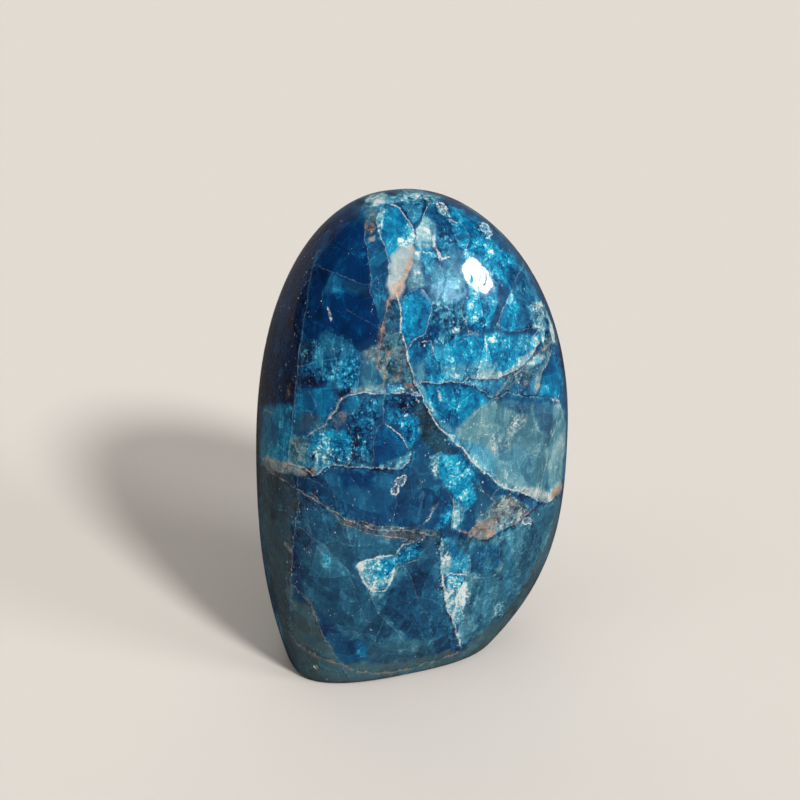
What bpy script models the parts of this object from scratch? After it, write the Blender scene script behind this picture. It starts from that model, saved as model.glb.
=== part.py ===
"""A polished freeform of blue apatite that stands on its sawn foot.

It is one piece of stone, so it is one solid: a loft through level sections, from the flat foot to the crown.
The broad front face looks along -Y. Each section has four reaches from the stone's own axis, to its left,
right, front and back, and a squarish curve joins them. Metres, +Z up, origin at the bottom centre of its box.
"""

import math

import bmesh
import bpy

HEIGHT = 0.090
FOOT_ROUNDING = 0.0012
CROWN_LEAN = 0.0006

# Each side's reach is widest at the height "widest_at". Below that it draws in to the share "foot_share" of
# it, along the power "undercut". Above, it closes over the crown: "shoulder" says how late it starts to
# close, and "crown_power" how round it ends.
SIDES = {
    "left": {"reach": 0.0245, "widest_at": 0.034, "foot_share": 0.82, "undercut": 2.3,
             "shoulder": 2.6, "crown_power": 2.0},
    "right": {"reach": 0.0320, "widest_at": 0.043, "foot_share": 0.57, "undercut": 3.1,
              "shoulder": 2.1, "crown_power": 2.0},
    "front": {"reach": 0.0185, "widest_at": 0.038, "foot_share": 0.58, "undercut": 2.0,
              "shoulder": 2.3, "crown_power": 2.0},
    "back": {"reach": 0.0195, "widest_at": 0.038, "foot_share": 0.66, "undercut": 2.0,
             "shoulder": 2.2, "crown_power": 2.0},
}

# A section is a superellipse: 2 is an ellipse, and more is nearer to a rounded box.
FRONT_SQUARENESS = 2.7
BACK_SQUARENESS = 2.5

POINTS_ROUND = 80
SECTIONS_IN_FOOT_ROUNDING = 4
SECTIONS_IN_BODY = 44

STONE_COLOUR = (0.012, 0.120, 0.250, 1.0)
STONE_ROUGHNESS = 0.12
SMOOTH_UP_TO = math.radians(35)


def clear_scene():
    for thing in list(bpy.data.objects):
        bpy.data.objects.remove(thing)


def reach_at(side, height):
    """How far the stone reaches from its axis to one side, at a height."""
    if height < side["widest_at"]:
        below = (side["widest_at"] - height) / side["widest_at"]
        return side["reach"] * (1 - (1 - side["foot_share"]) * below ** side["undercut"])
    above = (height - side["widest_at"]) / (HEIGHT - side["widest_at"])
    closing = max(0.0, 1 - above ** side["shoulder"])
    return side["reach"] * closing ** (1 / side["crown_power"])


def foot_inset(height):
    """How far the quarter-round edge of the foot draws in from the side wall, at a height."""
    if height >= FOOT_ROUNDING:
        return 0.0
    return FOOT_ROUNDING - math.sqrt(FOOT_ROUNDING**2 - (FOOT_ROUNDING - height) ** 2)


def section_heights():
    """Heights of the sections: close together in the foot's rounding and near the crown."""
    rounding = [
        FOOT_ROUNDING * (1 - math.cos(math.pi / 2 * step / SECTIONS_IN_FOOT_ROUNDING))
        for step in range(SECTIONS_IN_FOOT_ROUNDING)
    ]
    start = math.asin(FOOT_ROUNDING / HEIGHT)
    body = [
        HEIGHT * math.sin(start + (math.pi / 2 - start) * step / SECTIONS_IN_BODY)
        for step in range(SECTIONS_IN_BODY)
    ]
    return rounding + body


def signed_power(value, power):
    return math.copysign(abs(value) ** power, value)


def section_point(height, turn):
    """The point of the section at a height, where turn 0 is to the right and a quarter turn is to the back."""
    across = math.cos(turn)
    along = math.sin(turn)
    squareness = BACK_SQUARENESS if along > 0 else FRONT_SQUARENESS
    side = SIDES["right"] if across > 0 else SIDES["left"]
    face = SIDES["back"] if along > 0 else SIDES["front"]
    inset = foot_inset(height)
    x = (reach_at(side, height) - inset) * signed_power(across, 2 / squareness)
    y = (reach_at(face, height) - inset) * signed_power(along, 2 / squareness)
    return x + CROWN_LEAN * (height / HEIGHT) ** 2, y, height


def loft_stone(mesh):
    """Walls between the sections, one flat face for the foot, and a fan that closes the crown."""
    shape = bmesh.new()
    turns = [math.tau * step / POINTS_ROUND for step in range(POINTS_ROUND)]
    rings = [
        [shape.verts.new(section_point(height, turn)) for turn in turns]
        for height in section_heights()
    ]
    crown = shape.verts.new((CROWN_LEAN, 0.0, HEIGHT))
    shape.faces.new(list(reversed(rings[0])))
    for lower, upper in zip(rings, rings[1:]):
        for step in range(POINTS_ROUND):
            after = (step + 1) % POINTS_ROUND
            shape.faces.new((lower[step], lower[after], upper[after], upper[step]))
    for step in range(POINTS_ROUND):
        shape.faces.new((rings[-1][step], rings[-1][(step + 1) % POINTS_ROUND], crown))
    centre_on_origin(shape)
    shape.to_mesh(mesh)
    shape.free()


def centre_on_origin(shape):
    """Moves the stone so that the middle of its box, seen from above, is over the origin."""
    for axis in (0, 1):
        reached = [vertex.co[axis] for vertex in shape.verts]
        middle = (min(reached) + max(reached)) / 2
        for vertex in shape.verts:
            vertex.co[axis] -= middle


def apatite_material():
    material = bpy.data.materials.new("blue_apatite")
    material.use_nodes = True
    surface = material.node_tree.nodes["Principled BSDF"]
    surface.inputs["Base Color"].default_value = STONE_COLOUR
    surface.inputs["Roughness"].default_value = STONE_ROUGHNESS
    surface.inputs["Metallic"].default_value = 0.0
    material.diffuse_color = STONE_COLOUR
    return material


def build_stone():
    collection = bpy.data.collections.new("blue_apatite_freeform")
    bpy.context.scene.collection.children.link(collection)
    mesh = bpy.data.meshes.new("apatite_stone")
    loft_stone(mesh)
    mesh.shade_smooth()
    mesh.set_sharp_from_angle(angle=SMOOTH_UP_TO)
    mesh.materials.append(apatite_material())
    stone = bpy.data.objects.new("apatite_stone", mesh)
    collection.objects.link(stone)
    return stone


clear_scene()
build_stone()
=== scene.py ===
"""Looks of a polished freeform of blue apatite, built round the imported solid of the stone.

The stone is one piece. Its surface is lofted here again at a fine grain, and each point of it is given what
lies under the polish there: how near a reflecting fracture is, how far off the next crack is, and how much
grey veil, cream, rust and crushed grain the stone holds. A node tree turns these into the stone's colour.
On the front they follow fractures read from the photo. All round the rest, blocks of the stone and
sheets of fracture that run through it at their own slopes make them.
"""

import math
from typing import NamedTuple

import bpy
import numpy as np
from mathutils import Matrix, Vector, noise


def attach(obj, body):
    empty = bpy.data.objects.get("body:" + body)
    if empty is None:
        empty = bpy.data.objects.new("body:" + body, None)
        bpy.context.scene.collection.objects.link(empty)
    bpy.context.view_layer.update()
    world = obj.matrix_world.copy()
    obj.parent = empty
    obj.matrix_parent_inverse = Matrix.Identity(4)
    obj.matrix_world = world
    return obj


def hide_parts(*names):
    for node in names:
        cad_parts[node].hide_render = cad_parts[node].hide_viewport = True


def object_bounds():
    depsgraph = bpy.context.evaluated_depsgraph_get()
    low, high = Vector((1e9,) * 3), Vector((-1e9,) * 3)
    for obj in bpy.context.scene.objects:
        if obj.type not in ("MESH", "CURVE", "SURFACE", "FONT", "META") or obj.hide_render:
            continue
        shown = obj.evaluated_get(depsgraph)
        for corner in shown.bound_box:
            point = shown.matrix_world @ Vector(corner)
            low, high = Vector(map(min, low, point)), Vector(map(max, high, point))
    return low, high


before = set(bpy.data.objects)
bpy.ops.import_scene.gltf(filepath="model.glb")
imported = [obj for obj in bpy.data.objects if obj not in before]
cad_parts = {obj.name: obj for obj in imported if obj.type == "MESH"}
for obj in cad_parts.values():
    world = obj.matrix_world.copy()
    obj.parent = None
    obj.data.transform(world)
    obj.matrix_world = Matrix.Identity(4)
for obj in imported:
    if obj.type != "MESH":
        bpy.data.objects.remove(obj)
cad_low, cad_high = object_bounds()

MM = 0.001

# The camera: its turn and height as fitted to the stone's outline in the photo, which is 800 pixels square.
CAMERA_AZIMUTH = math.radians(-20)
CAMERA_ELEVATION = math.radians(25)
CAMERA_DISTANCE = 0.300
CAMERA_AIM = Vector((-2.61, -0.955, 51.5)) * MM
CAMERA_LENS = 76.03
SENSOR_WIDTH = 36.0
PHOTO_SIDE = 800
FOCAL_PIXELS = CAMERA_LENS / SENSOR_WIDTH * PHOTO_SIDE
PIXELS_PER_MM = FOCAL_PIXELS / CAMERA_DISTANCE * MM


def direction_to(azimuth, elevation):
    """From the stone towards a camera or a lamp. Azimuth 0 is in front of it, and grows to its right."""
    level = math.cos(elevation)
    return Vector((math.sin(azimuth) * level, -math.cos(azimuth) * level, math.sin(elevation)))


TO_CAMERA = direction_to(CAMERA_AZIMUTH, CAMERA_ELEVATION)


def make_camera():
    data = bpy.data.cameras.new("camera")
    data.lens = CAMERA_LENS
    data.sensor_width = SENSOR_WIDTH
    data.clip_start = 0.01
    camera = bpy.data.objects.new("camera", data)
    camera.location = CAMERA_AIM + TO_CAMERA * CAMERA_DISTANCE
    camera.rotation_mode = "QUATERNION"
    camera.rotation_quaternion = TO_CAMERA.to_track_quat("Z", "Y")
    bpy.context.scene.collection.objects.link(camera)
    bpy.context.scene.camera = camera


def photo_pixels(points):
    """Where points of the stone, in metres, are seen in the photo."""
    across = Vector((math.cos(CAMERA_AZIMUTH), math.sin(CAMERA_AZIMUTH), 0))
    up = TO_CAMERA.cross(across)
    seen = points - np.array(CAMERA_AIM + TO_CAMERA * CAMERA_DISTANCE)
    depth = -(seen @ np.array(TO_CAMERA))
    column = PHOTO_SIDE / 2 + FOCAL_PIXELS * (seen @ np.array(across)) / depth
    row = PHOTO_SIDE / 2 - FOCAL_PIXELS * (seen @ np.array(up)) / depth
    return np.stack([column, row], axis=1)


# The stone's form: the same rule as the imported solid's, at a finer grain.
HEIGHT = cad_high.z
FOOT_ROUNDING = 1.2 * MM
CROWN_LEAN = 0.6 * MM
SIDES = {
    "left": {"reach": 24.5 * MM, "widest_at": 34 * MM, "foot_share": 0.82, "undercut": 2.3,
             "shoulder": 2.6, "crown_power": 2.0},
    "right": {"reach": 32.0 * MM, "widest_at": 43 * MM, "foot_share": 0.57, "undercut": 3.1,
              "shoulder": 2.1, "crown_power": 2.0},
    "front": {"reach": 18.5 * MM, "widest_at": 38 * MM, "foot_share": 0.58, "undercut": 2.0,
              "shoulder": 2.3, "crown_power": 2.0},
    "back": {"reach": 19.5 * MM, "widest_at": 38 * MM, "foot_share": 0.66, "undercut": 2.0,
             "shoulder": 2.2, "crown_power": 2.0},
}
FRONT_SQUARENESS = 2.7
BACK_SQUARENESS = 2.5

POINTS_ROUND = 312
SECTIONS_IN_FOOT_ROUNDING = 5
SECTIONS_IN_BODY = 290
RINGS_IN_FOOT = 9
SHARE_OF_POINTS_IN_VIEW = 1.4


def reach_at(side, height):
    """How far the stone reaches from its axis to one side, at each height."""
    above = np.clip((height - side["widest_at"]) / (HEIGHT - side["widest_at"]), 0, 1)
    below = np.clip((side["widest_at"] - height) / side["widest_at"], 0, 1)
    closing = (1 - above ** side["shoulder"]) ** (1 / side["crown_power"])
    return side["reach"] * closing * (1 - (1 - side["foot_share"]) * below ** side["undercut"])


def section(height, turn):
    """Points of the stone's wall at a height, where turn 0 is to the right and a quarter turn to the back."""
    across = np.cos(turn)
    along = np.sin(turn)
    power = 2 / np.where(along > 0, BACK_SQUARENESS, FRONT_SQUARENESS)
    short = max(0.0, FOOT_ROUNDING - height)
    inset = FOOT_ROUNDING - math.sqrt(FOOT_ROUNDING**2 - short**2)
    sideways = np.where(across > 0, reach_at(SIDES["right"], height), reach_at(SIDES["left"], height))
    depthways = np.where(along > 0, reach_at(SIDES["back"], height), reach_at(SIDES["front"], height))
    x = (sideways - inset) * np.sign(across) * np.abs(across) ** power + CROWN_LEAN * (height / HEIGHT) ** 2
    y = (depthways - inset) * np.sign(along) * np.abs(along) ** power
    return np.stack([x, y, np.full_like(x, height)], axis=1)


def even_turns():
    """Turns that put the points evenly along a section, and closer together where the camera looks."""
    fine = np.linspace(0, math.tau, 20001)
    wall = section(SIDES["front"]["widest_at"], fine)
    step = np.diff(wall, axis=0)
    length = np.hypot(step[:, 0], step[:, 1])
    outwards = np.stack([step[:, 1], -step[:, 0]], axis=1) / length[:, None]
    facing = outwards @ np.array(TO_CAMERA)[:2]
    crowding = 1 + SHARE_OF_POINTS_IN_VIEW * np.clip(facing * 3, 0, 1)
    travelled = np.concatenate([[0], np.cumsum(length * crowding)])
    wanted = np.linspace(0, travelled[-1], POINTS_ROUND, endpoint=False)
    return np.interp(wanted, travelled, fine)


def section_heights():
    """Heights of the rings: through the foot's rounding, then evenly up the front wall to the crown."""
    rounding = FOOT_ROUNDING * (1 - np.cos(np.linspace(0, math.pi / 2, SECTIONS_IN_FOOT_ROUNDING, False)))
    fine = HEIGHT * np.sin(np.linspace(math.asin(FOOT_ROUNDING / HEIGHT), math.pi / 2, 4001))
    wall = reach_at(SIDES["front"], fine)
    travelled = np.concatenate([[0], np.cumsum(np.hypot(np.diff(fine), np.diff(wall)))])
    wanted = np.linspace(0, travelled[-1], SECTIONS_IN_BODY, endpoint=False)
    return np.concatenate([rounding, np.interp(wanted, travelled, fine)])


def stone_mesh():
    """The stone's skin: rings over the flat foot, rings up the wall, and one point at the crown."""
    turns = even_turns()
    sole = section(0.0, turns)
    middle = sole.mean(axis=0)
    rings = [middle + (sole - middle) * share for share in np.linspace(0, 1, RINGS_IN_FOOT, False)[1:]]
    rings += [section(height, turns) for height in section_heights()]
    crown = np.array([[CROWN_LEAN, 0.0, HEIGHT]])
    points = np.concatenate([middle[None, :], *rings, crown])
    for axis in (0, 1):
        reached = points[:, axis]
        own_range = (reached.min(), reached.max())
        points[:, axis] = np.interp(reached, own_range, (cad_low[axis], cad_high[axis]))
    top = len(points) - 1
    last = top - POINTS_ROUND
    faces = []
    for step in range(POINTS_ROUND):
        after = (step + 1) % POINTS_ROUND
        faces.append((0, 1 + after, 1 + step))
        faces.append((last + step, last + after, top))
        for ring in range(len(rings) - 1):
            start = 1 + ring * POINTS_ROUND
            above = start + POINTS_ROUND
            faces.append((start + step, start + after, above + after, above + step))
    mesh = bpy.data.meshes.new("apatite_skin")
    mesh.from_pydata(points.tolist(), [], faces)
    mesh.shade_smooth()
    mesh.update()
    return mesh


# Fractures of the front, read from the photo. Paths and outlines are in pixels of the photo.
class Crack(NamedTuple):
    """A crack that comes up to the polish.

    bright and dark are the strength of its light and dark edge, and width is the light edge's in mm.
    haze is how strongly the fracture shines through the stone on one side of it: on the right of someone who
    walks along the path if it is above 0, else on the left. It dies away over reach, in mm.
    rust stains the stone along it, and groove is how open it is at the polish, from 0 to 1.
    """

    path: list
    bright: float = 0.5
    dark: float = 0.2
    haze: float = 0.15
    reach: float = 1.5
    rust: float = 0.0
    groove: float = 0.3
    width: float = 0.14


MAIN_CRACKS = [
    # The edge of the left flank, bright above and faint below
    Crack([(315, 255), (311, 271), (304, 317), (300, 345)], bright=0.3, dark=0.6, haze=-0.08, reach=1.6),
    Crack([(300, 345), (296, 386), (291, 430), (288, 463)], bright=0.6, dark=0.6, haze=-0.12, reach=1.6),
    Crack([(297, 478), (297, 510), (292, 551), (290, 608), (291, 635)], bright=0.5, dark=0.1, haze=-0.05,
          rust=0.2),
    # The long diagonal, from the crown's rust down to the right edge
    Crack([(397, 296), (401, 310), (401, 331), (407, 356), (415, 383), (422, 397), (429, 413), (439, 428),
           (461, 448), (480, 469), (492, 478), (501, 486), (510, 490), (524, 493), (538, 501), (548, 502),
           (563, 491)], bright=1.0, dark=0.95, haze=-0.2, reach=2.4, rust=0.12, groove=1.0, width=0.28),
    # From the diagonal to the right: pale above, clear below
    Crack([(415, 382), (438, 383), (462, 382), (467, 377), (480, 379), (498, 378), (507, 374), (522, 366),
           (532, 354), (540, 342)], bright=0.8, dark=0.6, haze=-0.2, reach=1.3, groove=0.7, width=0.2),
    Crack([(465, 384), (475, 386), (490, 397), (495, 399)], bright=0.6, dark=0.7, haze=-0.15, reach=1.2,
          groove=0.6, width=0.18),
    Crack([(495, 397), (508, 392), (520, 395), (535, 397), (542, 397)], bright=0.6, dark=0.9, haze=0.05,
          groove=0.6, width=0.16),
    # From the flank's grains over the dark pit to the diagonal
    Crack([(309, 436), (326, 424), (336, 410), (339, 401), (348, 395)], bright=0.8, dark=0.4, haze=-0.12,
          rust=0.3, groove=0.8, width=0.3),
    Crack([(348, 395), (364, 393), (374, 395), (384, 393), (403, 393), (419, 395)], bright=1.0, dark=0.7,
          haze=-0.15, reach=1.2, rust=0.12, groove=0.9, width=0.24),
    # Across the left half, under its bright grains
    Crack([(261, 459), (270, 462), (272, 469), (280, 472), (288, 464), (304, 468), (314, 476), (325, 468),
           (335, 464), (349, 467), (401, 469), (409, 462), (411, 454)],
          bright=0.85, dark=0.9, haze=-0.14, reach=1.6, rust=0.16, groove=0.8, width=0.22),
    # The tan arc, low across the front
    Crack([(269, 472), (293, 487), (315, 500), (337, 514), (346, 520), (359, 525), (380, 531), (406, 531),
           (434, 536)], bright=0.75, dark=0.3, haze=-0.05, rust=0.32, groove=0.6, width=0.16),
    Crack([(455, 530), (468, 533), (479, 539), (487, 539), (502, 532), (515, 524), (528, 514), (534, 508)],
          bright=0.6, dark=0.85, haze=-0.2, reach=2.0, rust=0.45, groove=0.6, width=0.2),
    # Down from the arc, bright to the right of it
    Crack([(442, 540), (441, 557), (442, 577), (445, 596), (449, 612), (455, 625), (460, 644)],
          bright=1.0, dark=1.0, haze=-0.2, reach=1.6, groove=0.8, width=0.3),
]

FINE_CRACKS = [
    # About the crown
    Crack([(392, 204), (400, 208), (408, 219), (414, 227), (415, 242)], bright=1.0, dark=0.5, haze=0.1,
          width=0.26),
    Crack([(430, 203), (423, 216), (417, 228), (416, 243)], bright=0.75, dark=1.0, haze=-0.2, reach=1.2),
    Crack([(374, 207), (366, 222), (365, 239), (371, 273), (371, 293), (377, 311), (381, 320)],
          bright=0.42, haze=-0.12, reach=1.3),
    Crack([(367, 205), (379, 205), (385, 209)], bright=0.7, rust=0.15, width=0.2),
    Crack([(434, 236), (434, 247), (438, 253), (441, 259), (447, 258)], bright=1.0, dark=0.6, haze=-0.1,
          width=0.42, groove=1.0),
    Crack([(450, 220), (457, 222)], bright=0.8, dark=0.0, haze=0.0, width=0.4),
    Crack([(381, 208), (377, 219), (380, 235), (388, 256), (389, 272), (390, 290)], bright=0.75, haze=-0.1,
          width=0.2),
    Crack([(414, 248), (408, 266), (403, 280), (397, 292)], bright=0.6, rust=0.7, haze=0.0, width=0.3),
    # Faint lines of the clear zone, and a bright scratch
    Crack([(314, 264), (330, 271), (338, 273), (355, 282), (371, 285), (388, 292)], bright=0.3, dark=0.0,
          haze=0.04),
    Crack([(349, 310), (374, 326)], bright=0.42, dark=0.0, haze=0.0, width=0.1),
    Crack([(331, 273), (327, 283), (323, 291), (322, 303)], bright=0.2, dark=0.0, haze=-0.12, reach=2.0),
    Crack([(328, 309), (329, 314), (330, 319)], bright=1.0, dark=0.0, haze=0.0, width=0.4, groove=1.0),
    # Rust down the middle
    Crack([(396, 292), (388, 302), (386, 315), (382, 330), (380, 353), (378, 368)], bright=0.6, rust=0.5,
          haze=0.05, width=0.16),
    Crack([(387, 345), (387, 364), (384, 385), (384, 394)], bright=0.5, rust=0.5, haze=0.05),
    Crack([(362, 362), (374, 352), (383, 346)], bright=0.6, rust=0.15, haze=0.1),
    Crack([(361, 358), (360, 372), (357, 392)], bright=0.4, haze=0.1),
    Crack([(390, 302), (393, 312), (388, 322)], bright=0.4, haze=0.0),
    # Round the leaf of turquoise beside the diagonal
    Crack([(423, 291), (433, 303), (431, 313), (429, 322), (424, 335), (414, 341), (408, 349)],
          bright=0.65, haze=0.05, width=0.16),
    Crack([(402, 302), (409, 291), (416, 289)], bright=0.35, haze=0.05),
    Crack([(425, 341), (431, 341), (433, 350)], bright=0.8, dark=0.3, haze=0.0, width=0.26),
    Crack([(469, 332), (477, 333)], bright=0.9, dark=0.4, haze=0.0, width=0.4),
    Crack([(512, 290), (505, 306), (497, 326)], bright=0.6, dark=0.5, haze=-0.1, reach=1.4),
    Crack([(497, 328), (520, 332), (532, 326)], bright=0.4, dark=0.5, haze=0.0),
    # Right of the middle
    Crack([(530, 306), (541, 303), (544, 315), (541, 328), (533, 338)], bright=0.65, dark=0.3, haze=0.05,
          width=0.24),
    Crack([(552, 338), (542, 352), (536, 361)], bright=0.55, rust=0.15, haze=0.0, width=0.3),
    Crack([(534, 398), (537, 390), (542, 376), (548, 361), (552, 350)], bright=0.65, haze=-0.12, width=0.24),
    Crack([(495, 396), (508, 379), (522, 368), (536, 358), (550, 343)], bright=0.6, rust=0.25, haze=0.08,
          width=0.34),
    Crack([(508, 389), (524, 374), (544, 356)], bright=0.4, rust=0.3, haze=0.0, width=0.3),
    Crack([(554, 399), (560, 404), (562, 413), (557, 425), (550, 445), (545, 470)], bright=0.65, haze=-0.1),
    Crack([(553, 399), (558, 400), (560, 406)], bright=1.0, dark=0.0, haze=0.0, width=0.45),
    Crack([(533, 399), (533, 416), (537, 428), (545, 436)], bright=0.28, dark=0.0, haze=0.0),
    Crack([(494, 399), (481, 408), (475, 416)], bright=0.55, haze=0.06, width=0.22),
    Crack([(495, 402), (497, 424)], bright=0.35, dark=0.0, haze=0.0),
    Crack([(496, 400), (512, 410), (519, 416)], bright=0.3, dark=0.0, haze=0.0),
    Crack([(439, 392), (441, 400)], bright=0.8, dark=0.0, haze=0.0, width=0.4),
    # Left half
    Crack([(263, 409), (270, 413)], bright=0.7, dark=0.0, haze=0.0, width=0.25),
    Crack([(384, 394), (384, 422), (377, 428), (374, 445), (374, 456), (370, 466)], bright=0.45, haze=0.06),
    Crack([(386, 425), (393, 431), (403, 439), (407, 446)], bright=0.85, haze=-0.12, width=0.2),
    Crack([(296, 367), (313, 364), (316, 352), (314, 342)], bright=0.35, haze=0.08),
    Crack([(365, 398), (357, 410), (345, 418)], bright=0.35, haze=0.08, rust=0.15),
    Crack([(325, 478), (332, 491), (336, 502)], bright=0.35, dark=0.0, haze=-0.08),
    Crack([(309, 478), (327, 488)], bright=0.35, dark=0.0, haze=0.0),
    Crack([(345, 523), (352, 549)], bright=0.36, dark=0.0, haze=-0.08, reach=2.0),
    Crack([(297, 525), (317, 541), (327, 547)], bright=0.32, dark=0.0, haze=0.08),
    Crack([(285, 544), (291, 551)], bright=0.75, dark=0.0, haze=0.0, rust=0.2, width=0.7),
    # Beside the tan arc
    Crack([(312, 494), (328, 509), (344, 524), (360, 531), (378, 535), (414, 540)], bright=0.6,
          dark=0.5, rust=0.28, haze=0.0, width=0.14),
    Crack([(356, 521), (384, 527), (412, 528), (424, 525)], bright=0.5, dark=0.4, rust=0.28, haze=0.0,
          width=0.12),
    # Hairlines that cross the clear stone
    Crack([(449, 472), (444, 486), (452, 498)], bright=0.3, haze=0.05),
    Crack([(350, 476), (362, 492), (366, 512), (362, 526)], bright=0.28, dark=0.0, haze=0.05, reach=2.4),
    Crack([(392, 478), (396, 500), (392, 528)], bright=0.26, dark=0.0, haze=0.05, reach=2.0),
    Crack([(420, 478), (424, 496), (418, 520)], bright=0.3, dark=0.0, haze=0.06, reach=2.0),
    Crack([(340, 560), (352, 578), (356, 600), (368, 622)], bright=0.3, dark=0.0, haze=0.05, reach=2.0),
    Crack([(410, 574), (418, 600), (430, 622), (434, 646)], bright=0.28, dark=0.0, haze=0.05, reach=2.0),
    Crack([(462, 544), (470, 560), (472, 584), (468, 612)], bright=0.34, dark=0.2, haze=0.08, reach=1.6),
    Crack([(498, 542), (501, 566), (498, 592), (492, 620)], bright=0.3, dark=0.0, haze=0.08, reach=1.6),
    Crack([(524, 524), (522, 548), (514, 580)], bright=0.3, dark=0.0, haze=0.08, reach=1.4),
    Crack([(300, 494), (306, 512), (312, 540), (310, 570)], bright=0.3, dark=0.0, haze=0.05, reach=1.6),
    Crack([(318, 350), (322, 368), (318, 382)], bright=0.34, dark=0.2, haze=0.06),
    Crack([(332, 346), (338, 360), (334, 380), (340, 390)], bright=0.36, dark=0.2, haze=0.06),
    Crack([(308, 392), (316, 402), (312, 416), (318, 428)], bright=0.36, dark=0.2, haze=0.05),
    Crack([(322, 430), (330, 444), (326, 462)], bright=0.5, dark=0.5, haze=0.06),
    Crack([(348, 428), (356, 440), (354, 456), (346, 466)], bright=0.45, dark=0.5, haze=0.05),
    Crack([(430, 356), (446, 350), (462, 342), (474, 334)], bright=0.4, dark=0.3, haze=0.05),
    Crack([(474, 336), (480, 350), (478, 366), (470, 376)], bright=0.34, haze=0.05),
    Crack([(500, 334), (504, 350), (498, 366), (500, 376)], bright=0.34, haze=0.05),
    Crack([(440, 264), (446, 280), (438, 300), (446, 318)], bright=0.4, dark=0.3, haze=0.05),
    Crack([(464, 300), (462, 316), (468, 330)], bright=0.5, dark=0.5, haze=0.04),
    Crack([(524, 262), (518, 276), (512, 290)], bright=0.4, dark=0.2, haze=0.05),
    Crack([(462, 222), (470, 236), (466, 252)], bright=0.4, dark=0.3, haze=0.06),
    Crack([(444, 400), (452, 412), (450, 426)], bright=0.4, dark=0.3, haze=0.06),
    Crack([(512, 412), (506, 428), (512, 446), (506, 466), (512, 484)], bright=0.34, haze=0.08, reach=2.0),
    Crack([(488, 404), (484, 426), (490, 448), (484, 464)], bright=0.3, haze=0.06, reach=2.0),
    # Dark splits that break up the gloss at the upper right
    Crack([(486, 258), (482, 265), (483, 273)], bright=0.0, dark=1.0, haze=0.0),
    Crack([(490, 264), (486, 271), (487, 279), (484, 284)], bright=0.0, dark=1.0, haze=0.0),
    Crack([(480, 276), (476, 283), (478, 290)], bright=0.0, dark=1.0, haze=0.0),
    Crack([(466, 268), (470, 275), (469, 283)], bright=0.2, dark=1.0, haze=0.0),
    # Low on the front
    Crack([(370, 593), (379, 614), (393, 628), (403, 640)], bright=0.42, haze=-0.1, reach=2.2),
    Crack([(294, 587), (308, 600), (319, 626), (332, 653), (340, 662), (348, 676)], bright=0.5, dark=0.4,
          haze=-0.06, rust=0.25, width=0.22),
    Crack([(315, 626), (336, 629), (375, 636)], bright=0.3, dark=0.0, haze=0.02),
    Crack([(290, 635), (301, 647), (322, 658), (340, 664), (355, 670), (374, 674), (406, 670), (426, 663),
           (462, 652)], bright=0.45, dark=0.3, rust=0.35, haze=0.04, width=0.24),
    Crack([(446, 576), (451, 573), (465, 575)], bright=1.0, haze=0.05, width=0.26),
    Crack([(446, 590), (456, 589), (458, 602), (463, 614)], bright=0.8, haze=0.05, width=0.22),
    Crack([(477, 577), (489, 578), (497, 575), (503, 566)], bright=0.6, dark=0.2, haze=0.0, width=0.18),
    Crack([(480, 484), (483, 491), (491, 498), (499, 487)], bright=0.5, haze=0.0),
    Crack([(491, 498), (501, 509), (512, 505)], bright=0.7, haze=0.0, width=0.2),
    Crack([(506, 510), (512, 516), (520, 512)], bright=0.6, haze=0.0, width=0.2),
    Crack([(437, 504), (431, 513), (425, 522)], bright=0.85, haze=-0.1, width=0.34, rust=0.12),
    Crack([(453, 498), (453, 515), (450, 530)], bright=0.6, dark=0.8, haze=-0.1, rust=0.1),
    Crack([(357, 566), (363, 561), (378, 558), (393, 556)], bright=1.0, dark=0.3, haze=0.0, width=0.3),
    Crack([(357, 566), (362, 579), (372, 591), (385, 591)], bright=1.0, dark=0.7, haze=0.0, width=0.26),
    Crack([(385, 591), (391, 578), (396, 574), (397, 568), (406, 564), (415, 562)], bright=0.55, dark=1.0,
          haze=0.0, width=0.2),
    Crack([(397, 553), (402, 545), (414, 541)], bright=0.8, dark=0.3, haze=0.0, width=0.26),
]


class Pool(NamedTuple):
    """A patch of the front seen as one shade. What is None stays as it is below the patch.

    glow is how near a reflecting fracture lies: 0 is deep, clear stone and 1 is a fracture at the polish.
    veil greys it, milk clouds it with cream, and rust and grain are what their names say. The last field
    tints it grey-green: a tone of the stone, and round the rim and the foot a painted reflection of the
    floor.
    """

    outline: list
    glow: float = None
    veil: float = None
    milk: float = None
    rust: float = None
    grain: float = None
    olive_and_floor_reflection: float = None
    soft: float = 3.0


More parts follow.
